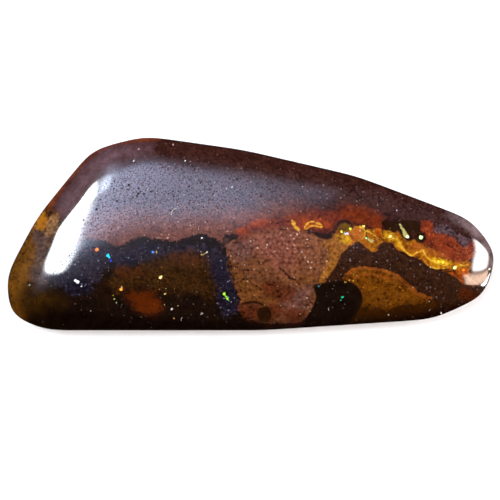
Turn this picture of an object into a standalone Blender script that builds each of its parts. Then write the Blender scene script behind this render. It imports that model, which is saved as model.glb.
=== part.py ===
"""A polished freeform boulder opal, ground from one piece of stone.

The face is a low dome, the back is sawn flat, and a bevel runs between the
back and the widest line, the girdle. Metres, +Z up. The origin is on the flat
back, under the middle of the stone's box. +X points to the narrow nose, and
+Z to the polished face.
"""

import math

import bmesh
import bpy
import numpy as np

STONE = "boulder_opal"
MM = 0.001  # one millimetre, in metres

# Driving dimensions, in millimetres.
GIRDLE_HEIGHT = 1.5  # the widest line, above the flat back
DOME_RISE = 2.9  # what the dome would rise over the girdle if the stone were wider
END_FALL = 0.5  # how much lower the dome is at the two ends than in the middle
HALF_LENGTH = 17.5
BACK_INSET = 0.9  # how far the flat back stays inside the girdle, all round
CORNER_ROUNDING = 0.9  # how far the wheel has run each corner into its neighbours
CROWN_REACH = 6.5  # distance from the rim over which the dome would climb in full
WAVE_HEIGHT = 0.02  # how far hand grinding left the dome off a true curve
WAVE_LENGTH = 7.5  # from one low place of the dome to the next

# How the dome leaves the rim: steep at first, then easing off towards the crown.
SHOULDER_FALL = 1.8
SHOULDER_LIFT = 0.9
BEVEL_ROUNDNESS = 1.6  # 1 is a straight bevel, 2 a quarter circle

# The blank's straight sides before its corners were ground round, in
# millimetres, clockwise from the lower left and seen from the polished face.
BLANK_CORNERS = (
    (-17.3, -5.8),
    (-17.6, -3.0),
    (-15.3, 1.3),
    (-11.4, 6.1),
    (-7.6, 7.1),
    (-0.5, 6.1),
    (7.7, 4.2),
    (15.9, 1.1),
    (17.8, -1.4),
    (16.9, -4.4),
    (13.2, -6.1),
    (1.0, -6.9),
    (-14.8, -6.9),
)

# Fineness of the faceted solid.
SEGMENTS = 96  # round the outline
RINGS = 60  # from the middle of the back to the crown
BEVEL_SHARE = 0.24  # of the rings below the girdle, those that make the bevel
OUTLINE_POINTS = 480  # a whole number for each segment

STONE_COLOUR = (0.115, 0.062, 0.035, 1.0)
STONE_ROUGHNESS = 0.2


def clear_scene():
    for old in list(bpy.data.objects):
        bpy.data.objects.remove(old)


def ground_outline():
    """The girdle seen from above: the blank with its corners run together."""
    corners = np.array(BLANK_CORNERS)
    closed = np.vstack([corners, corners[:1]])
    sides = np.linalg.norm(np.diff(closed, axis=0), axis=1)
    along = np.concatenate([[0.0], np.cumsum(sides)])
    stations = np.linspace(0.0, along[-1], OUTLINE_POINTS, endpoint=False)
    x = np.interp(stations, along, closed[:, 0])
    y = np.interp(stations, along, closed[:, 1])
    waves = 2.0 * math.pi * np.fft.fftfreq(OUTLINE_POINTS, along[-1] / OUTLINE_POINTS)
    kept = np.exp(-((waves * CORNER_ROUNDING) ** 2) / 2.0)
    rounded = np.fft.ifft(np.fft.fft(x + 1j * y) * kept)
    points = np.stack([rounded.real, rounded.imag], axis=1)
    points -= (points.min(axis=0) + points.max(axis=0)) / 2.0
    return points[::-1]  # anticlockwise, as the sphere's own segments run


def rim_distance(x, y, outline):
    """Distance to the rim, in millimetres: true beside it, softened in the middle.

    Each side of the outline pulls with the integral of 1 / distance cubed.
    """
    place = np.array([x, y])
    start = outline - place
    end = np.roll(outline, -1, axis=0) - place
    near = np.linalg.norm(start, axis=1)
    far = np.linalg.norm(end, axis=1)
    side = np.linalg.norm(end - start, axis=1)
    between = near * far + (start * end).sum(axis=1)
    if min(near.min(), between.min()) < 1e-9:
        return 0.0
    pull = side * (near + far) / (near * far * between)
    return (pull.sum() / 2.0) ** -0.5


def hand_ground(x, y):
    """The low swells that a lap leaves on a stone held by hand, from -1 to 1."""
    turn = 2.0 * math.pi / WAVE_LENGTH
    along = math.sin(turn * (x + 0.35 * y))
    across = math.sin(turn * (0.45 * x - 1.1 * y) + 1.3)
    return 0.6 * along + 0.4 * across


def dome_height(x, y, outline):
    """Height of the polished face over the girdle, in millimetres."""
    climb = min(rim_distance(x, y, outline) / CROWN_REACH, 1.0)
    shoulder = (1.0 - (1.0 - climb) ** SHOULDER_FALL) ** SHOULDER_LIFT
    rise = DOME_RISE - END_FALL * (x / HALF_LENGTH) ** 2
    return rise * shoulder + WAVE_HEIGHT * climb * hand_ground(x, y)


def inward(outline):
    """A unit step to the inside at each point of the anticlockwise outline."""
    ahead = np.roll(outline, -1, axis=0) - np.roll(outline, 1, axis=0)
    ahead /= np.linalg.norm(ahead, axis=1)[:, None]
    return np.stack([-ahead[:, 1], ahead[:, 0]], axis=1)


def ground_point(azimuth, latitude, outline, inside):
    """Where one point of the unit sphere goes on the stone, in millimetres."""
    step = OUTLINE_POINTS // SEGMENTS
    station = round(azimuth / (2.0 * math.pi) * SEGMENTS) % SEGMENTS * step
    rim = outline[station]
    if latitude >= 0.0:
        x, y = rim * math.cos(latitude)
        return x, y, GIRDLE_HEIGHT + dome_height(x, y, outline)
    depth = -latitude / (math.pi / 2.0)
    bevel = min(depth / BEVEL_SHARE, 1.0)
    low = (1.0 - (1.0 - bevel) ** BEVEL_ROUNDNESS) ** (1.0 / BEVEL_ROUNDNESS)
    foot = rim + BACK_INSET * bevel**BEVEL_ROUNDNESS * inside[station]
    middle = max(0.0, (depth - BEVEL_SHARE) / (1.0 - BEVEL_SHARE))
    x, y = foot * (1.0 - middle)
    return x, y, GIRDLE_HEIGHT * (1.0 - low)


def grind_stone():
    """A sphere whose rings are laid over the dome, the bevel and the back."""
    outline = ground_outline()
    inside = inward(outline)
    form = bmesh.new()
    bmesh.ops.create_uvsphere(form, u_segments=SEGMENTS, v_segments=RINGS, radius=1.0)
    for corner in form.verts:
        azimuth = math.atan2(corner.co.y, corner.co.x)
        latitude = math.asin(max(-1.0, min(1.0, corner.co.z)))
        if abs(latitude) < 1e-6:
            latitude = 0.0
        x, y, z = ground_point(azimuth, latitude, outline, inside)
        corner.co = (x * MM, y * MM, z * MM)
    mesh = bpy.data.meshes.new(STONE)
    form.to_mesh(mesh)
    form.free()
    mesh.shade_smooth()
    mesh.set_sharp_from_angle(angle=math.radians(40.0))
    return bpy.data.objects.new(STONE, mesh)


def stone_material():
    material = bpy.data.materials.new("polished ironstone and opal")
    material.use_nodes = True
    shader = material.node_tree.nodes["Principled BSDF"]
    shader.inputs["Base Color"].default_value = STONE_COLOUR
    shader.inputs["Metallic"].default_value = 0.0
    shader.inputs["Roughness"].default_value = STONE_ROUGHNESS
    return material


clear_scene()
collection = bpy.data.collections.new(STONE)
bpy.context.scene.collection.children.link(collection)
stone = grind_stone()
stone.data.materials.append(stone_material())
collection.objects.link(stone)
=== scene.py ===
# %% [markdown]
# # A polished boulder opal
#
# Boulder opal is ironstone with thin seams of opal in it. A cutter grinds a piece
# to a low dome with a flat back and polishes it, so that the dark stone frames the
# fire. Here the dome is a mesh that follows one rule, the seams are zones drawn on
# it, and shader groups turn each zone into mineral. A few zones are painted light
# instead: a painted reflection on the left shoulder and along the right rim, a
# painted glow along the upper left edge, and painted shade along the bottom and in
# the pits. Some pale flecks and sparks are painted glints.

# %% Load the frame
import math

import bpy
import numpy as np
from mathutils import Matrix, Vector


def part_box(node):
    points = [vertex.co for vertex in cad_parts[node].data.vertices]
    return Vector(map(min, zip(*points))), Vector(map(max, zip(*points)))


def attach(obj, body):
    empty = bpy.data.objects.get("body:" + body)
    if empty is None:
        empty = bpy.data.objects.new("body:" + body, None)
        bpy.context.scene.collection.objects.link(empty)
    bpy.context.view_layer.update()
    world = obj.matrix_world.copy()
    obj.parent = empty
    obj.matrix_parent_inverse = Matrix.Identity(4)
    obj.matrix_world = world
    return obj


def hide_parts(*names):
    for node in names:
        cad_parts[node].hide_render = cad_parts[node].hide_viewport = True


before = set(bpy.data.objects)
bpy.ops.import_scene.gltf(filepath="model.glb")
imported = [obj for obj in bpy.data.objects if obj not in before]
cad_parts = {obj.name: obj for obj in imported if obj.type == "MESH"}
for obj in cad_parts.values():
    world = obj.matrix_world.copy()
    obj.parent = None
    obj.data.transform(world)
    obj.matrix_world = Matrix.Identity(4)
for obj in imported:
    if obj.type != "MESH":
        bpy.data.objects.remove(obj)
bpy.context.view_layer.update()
STONE_NODE = "boulder_opal"
stone_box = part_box(STONE_NODE)
print("solid stone, lowest and highest corner:", stone_box)

# %% [markdown]
# ## The girdle
#
# The girdle is the stone's widest line. It could be traced as a smooth curve, but a
# cutter doesn't work that way: the wheel takes off straight sides first, and then
# runs each corner into its neighbours. So the line is drawn as a blank with straight
# sides, and its corners are run together by smoothing the path with a bell curve.

# %% Sizes of the ground stone, in millimetres
MM = 0.001
GIRDLE_HEIGHT = 1.5
DOME_RISE = 2.9
END_FALL = 0.5
HALF_LENGTH = 17.5
BACK_INSET = 0.9
CORNER_ROUNDING = 0.9
CROWN_REACH = 6.5
WAVE_HEIGHT = 0.02
WAVE_LENGTH = 7.5
SHOULDER_FALL = 1.8
SHOULDER_LIFT = 0.9
BEVEL_ROUNDNESS = 1.6

BLANK_CORNERS = (
    (-17.3, -5.8), (-17.6, -3.0), (-15.3, 1.3), (-11.4, 6.1), (-7.6, 7.1),
    (-0.5, 6.1), (7.7, 4.2), (15.9, 1.1), (17.8, -1.4), (16.9, -4.4),
    (13.2, -6.1), (1.0, -6.9), (-14.8, -6.9),
)
OUTLINE_POINTS = 480


def ground_outline():
    """The girdle seen from above, anticlockwise, with its box centred on zero."""
    corners = np.array(BLANK_CORNERS)
    closed = np.vstack([corners, corners[:1]])
    sides = np.linalg.norm(np.diff(closed, axis=0), axis=1)
    along = np.concatenate([[0.0], np.cumsum(sides)])
    stations = np.linspace(0.0, along[-1], OUTLINE_POINTS, endpoint=False)
    x = np.interp(stations, along, closed[:, 0])
    y = np.interp(stations, along, closed[:, 1])
    waves = 2.0 * math.pi * np.fft.fftfreq(OUTLINE_POINTS, along[-1] / OUTLINE_POINTS)
    kept = np.exp(-((waves * CORNER_ROUNDING) ** 2) / 2.0)
    rounded = np.fft.ifft(np.fft.fft(x + 1j * y) * kept)
    points = np.stack([rounded.real, rounded.imag], axis=1)
    points -= (points.min(axis=0) + points.max(axis=0)) / 2.0
    return points[::-1]


girdle = ground_outline()
print("girdle, mm:", np.round(girdle.max(axis=0) - girdle.min(axis=0), 2))

# %% [markdown]
# ## The dome
#
# A dome's height depends on how far a point is from the rim. The plain distance has
# a crease wherever two sides are equally near, and a polished face has none. So
# every side of the girdle pulls on the point at once, by one over the distance
# cubed, and the pull is turned back into a distance: it is true beside the rim and
# soft in the middle.

# %% The rule for the dome's height
BATCH = 4000  # points at once, to keep the arrays small
TINY_LENGTH = 1e-9  # these two keep a division by zero away
TINY_AREA = 1e-12
LONG_SLANT = 0.35  # how the swells along the stone lean
CROSS_RUN = (0.45, 1.1)  # how the swells across it run, along and across
CROSS_START = 1.3
LONG_SHARE = 0.6


def rim_distance(points):
    """Soft distance to the girdle, in millimetres, of each point inside it."""
    ends = np.roll(girdle, -1, axis=0)
    side = np.linalg.norm(ends - girdle, axis=1)
    found = []
    for first in range(0, len(points), BATCH):
        batch = points[first : first + BATCH, None, :]
        start = girdle[None] - batch
        end = ends[None] - batch
        near = np.linalg.norm(start, axis=2)
        far = np.linalg.norm(end, axis=2)
        between = near * far + (start * end).sum(axis=2)
        between = np.maximum(between, TINY_AREA)
        near = np.maximum(near, TINY_LENGTH)
        far = np.maximum(far, TINY_LENGTH)
        pull = (side * (near + far) / (near * far * between)).sum(axis=1)
        found.append((pull / 2.0) ** -0.5)
    return np.concatenate(found)


def hand_ground(points):
    """The low swells that a lap leaves on a stone held by hand, from -1 to 1."""
    turn = 2.0 * math.pi / WAVE_LENGTH
    x, y = points.T
    along = np.sin(turn * (x + LONG_SLANT * y))
    across = np.sin(turn * (CROSS_RUN[0] * x - CROSS_RUN[1] * y) + CROSS_START)
    return LONG_SHARE * along + (1.0 - LONG_SHARE) * across


def dome_height(points, soft):
    """Height over the girdle, in millimetres, from the soft rim distance."""
    climb = np.minimum(soft / CROWN_REACH, 1.0)
    shoulder = (1.0 - (1.0 - climb) ** SHOULDER_FALL) ** SHOULDER_LIFT
    rise = DOME_RISE - END_FALL * (points[:, 0] / HALF_LENGTH) ** 2
    return rise * shoulder + WAVE_HEIGHT * climb * hand_ground(points)


# %% [markdown]
# ## One cloth of squares over the face
#
# Rings round a middle point would bunch up there, and the reflections would show it.
# A square grid is laid over the face like a cloth instead. Its four edges follow the
# girdle, and a point inside is blended from the two pairs of edges, which is called
# a Coons patch. The squares are smaller beside the rim, where the face is steepest.

# %% Lay the grid
SQUARES_ALONG = 430
SQUARES_ACROSS = 180
RIM_SPACING = 0.6  # of the even spacing, right beside the rim
CLOTH_CORNERS = ((-16.3, -6.1), (15.6, -5.1), (16.5, 0.3), (-10.7, 6.3))


def graded(count):
    """From 0 to 1 in steps that are shorter near both ends."""
    even = np.linspace(0.0, 1.0, count + 1)
    return even - (1.0 - RIM_SPACING) * np.sin(2.0 * math.pi * even) / (2.0 * math.pi)


def girdle_run(start, end, stations):
    """Points along the girdle, anticlockwise from one cloth corner to another."""
    first = np.linalg.norm(girdle - start, axis=1).argmin()
    last = np.linalg.norm(girdle - end, axis=1).argmin()
    run = np.roll(girdle, -first, axis=0)[: (last - first) % OUTLINE_POINTS + 1]
    steps = np.linalg.norm(np.diff(run, axis=0), axis=1)
    along = np.concatenate([[0.0], np.cumsum(steps)])
    places = stations * along[-1]
    x = np.interp(places, along, run[:, 0])
    y = np.interp(places, along, run[:, 1])
    return np.stack([x, y], axis=1)


def cloth_points():
    """The plan of the grid: one row of points after another, from -Y to +Y."""
    u = graded(SQUARES_ALONG)
    v = graded(SQUARES_ACROSS)
    south_west, south_east, north_east, north_west = np.array(CLOTH_CORNERS)
    south = girdle_run(south_west, south_east, u)
    east = girdle_run(south_east, north_east, v)
    north = girdle_run(north_east, north_west, 1.0 - u[::-1])[::-1]
    west = girdle_run(north_west, south_west, 1.0 - v[::-1])[::-1]
    u = u[None, :, None]
    v = v[:, None, None]
    crossed = (1.0 - v) * south[None] + v * north[None]
    crossed = crossed + (1.0 - u) * west[:, None] + u * east[:, None]
    low = (1.0 - u) * south[0] + u * south[-1]
    high = (1.0 - u) * north[0] + u * north[-1]
    return (crossed - (1.0 - v) * low - v * high).reshape(-1, 2)


plan = cloth_points()
print("points on the face:", len(plan))

# %% Raise the dome
columns = SQUARES_ALONG + 1
rows = SQUARES_ACROSS + 1
number = np.arange(rows * columns).reshape(rows, columns)
rim_loop = np.concatenate(
    [number[0, :-1], number[:-1, -1], number[-1, :0:-1], number[:0:-1, 0]]
)
inner = np.ones(len(plan), bool)
inner[rim_loop] = False
soft = np.zeros(len(plan))
soft[inner] = rim_distance(plan[inner])
heights = GIRDLE_HEIGHT + dome_height(plan, soft)
face_squares = np.stack(
    [number[:-1, :-1], number[:-1, 1:], number[1:, 1:], number[1:, :-1]], axis=-1
).reshape(-1, 4)
print("crown, mm:", round(float(heights.max()), 2))

# %% [markdown]
# ## The bevel and the back
#
# Under the girdle the stone is cut in at a bevel, so that no thin edge can chip,
# and then it is flat. The rim is copied downwards in rings, each one a little lower
# and further in, and one flat face closes the last ring.

# %% Cut the bevel and the flat back
BEVEL_RINGS = 8
SHARP_ANGLE = 40.0  # degrees
rim = plan[rim_loop]
ahead = np.roll(rim, -1, axis=0) - np.roll(rim, 1, axis=0)
ahead /= np.linalg.norm(ahead, axis=1)[:, None]
inward = np.stack([-ahead[:, 1], ahead[:, 0]], axis=1)

points = [np.column_stack([plan, heights])]
loops = [rim_loop]
for ring in range(1, BEVEL_RINGS + 1):
    share = ring / BEVEL_RINGS
    low = (1.0 - (1.0 - share) ** BEVEL_ROUNDNESS) ** (1.0 / BEVEL_ROUNDNESS)
    spots = rim + BACK_INSET * share**BEVEL_ROUNDNESS * inward
    level = np.full(len(rim), GIRDLE_HEIGHT * (1.0 - low))
    loops.append(len(plan) + (ring - 1) * len(rim) + np.arange(len(rim)))
    points.append(np.column_stack([spots, level]))
points = np.concatenate(points)
bevel_squares = [
    np.stack([upper, lower, np.roll(lower, -1), np.roll(upper, -1)], axis=1)
    for upper, lower in zip(loops, loops[1:])
]
faces = np.concatenate([face_squares, *bevel_squares]).tolist()
faces.append(loops[-1][::-1].tolist())

stone_mesh = bpy.data.meshes.new("polished_stone")
stone_mesh.from_pydata((points * MM).tolist(), [], faces)
stone_mesh.shade_smooth()
stone_mesh.set_sharp_from_angle(angle=math.radians(SHARP_ANGLE))
stone = bpy.data.objects.new("polished_stone", stone_mesh)
bpy.context.scene.collection.objects.link(stone)
print("stone faces:", len(stone_mesh.polygons))

# %% [markdown]
# ## A map of the minerals and of the painted light
#
# The pattern of a boulder opal is flat colour in one smooth face: opal, ironstone
# and sandy ironstone meet without a step. It could be painted as a picture, but a
# picture has a fixed sharpness. Here each mineral, and each patch of painted
# reflection, glow or shade, has outlines, drawn in millimetres on the face, and every
# vertex stores how far inside them it lies. That number is smooth, so the shader can
# cut an edge from it as sharp as it likes.

# %% Measure how far inside a drawn outline a point lies
CURVE_STEPS = 3  # pieces between two drawn points


def drawn_curve(spots, closed):
    """A smooth line through drawn points, by Catmull and Rom's rule."""
    spots = np.array(spots)
    if closed:
        before = np.roll(spots, 1, axis=0)
        after = np.roll(spots, -1, axis=0)
        beyond = np.roll(spots, -2, axis=0)
        here = spots
    else:
        long = np.vstack([spots[:1], spots, spots[-1:]])
        before, here, after, beyond = long[:-3], long[1:-2], long[2:-1], long[3:]
    curve = []
    for share in np.arange(CURVE_STEPS) / CURVE_STEPS:
        bend = 2.0 * here + (after - before) * share
        bend += (2.0 * before - 5.0 * here + 4.0 * after - beyond) * share**2
        bend += (3.0 * here - before - 3.0 * after + beyond) * share**3
        curve.append(bend / 2.0)
    curve = np.stack(curve, axis=1).reshape(-1, 2)
    return curve if closed else np.vstack([curve, spots[-1:]])


def line_distance(places, line):
    """Distance from each place to a line of straight pieces."""
    nearest = np.full(len(places), np.inf)
    for start, end in zip(line, line[1:]):
        step = end - start
        share = (places - start) @ step / max(step @ step, TINY_AREA)
        gap = places - start - np.clip(share, 0.0, 1.0)[:, None] * step
        nearest = np.minimum(nearest, (gap**2).sum(axis=1))
    return np.sqrt(nearest)


def inside_distance(places, outline):
    """Distance to a closed outline: positive inside it, negative outside."""
    closed = np.vstack([outline, outline[:1]])
    inside = np.zeros(len(places), bool)
    x, y = places.T
    for (x0, y0), (x1, y1) in zip(closed, closed[1:]):
        crosses = (y0 > y) != (y1 > y)
        if crosses.any():
            inside ^= crosses & (x < x0 + (y - y0) * (x1 - x0) / (y1 - y0))
    away = line_distance(places, closed)
    return np.where(inside, away, -away)


map_places = points[:, :2]
FAR_OUTSIDE = -3.0  # millimetres, for vertices that no edge of a zone comes near


def store(name, values):
    """Keep one number for each vertex of the stone, under a name."""
    layer = stone_mesh.attributes.new(name, "FLOAT", "POINT")
    layer.data.foreach_set("value", np.asarray(values, np.float32))


def store_zone(name, outlines):
    """Keep how far inside any of a zone's outlines each vertex lies."""
    deepest = np.full(len(map_places), FAR_OUTSIDE)
    for outline in outlines:
        curve = drawn_curve(outline, closed=True)
        near = (map_places > curve.min(axis=0) + FAR_OUTSIDE).all(axis=1)
        near &= (map_places < curve.max(axis=0) - FAR_OUTSIDE).all(axis=1)
        found = inside_distance(map_places[near], curve)
        deepest[near] = np.maximum(deepest[near], found)
    store(name, deepest)


on_face = np.arange(len(points)) < len(plan)
store("rim", np.where(on_face, np.pad(soft, (0, len(points) - len(plan))), 0.0))
store("face", on_face)
ring_shares = np.arange(1, BEVEL_RINGS + 1) / BEVEL_RINGS
store("ground", np.concatenate([np.zeros(len(plan)), np.repeat(ring_shares, len(rim))]))

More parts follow.
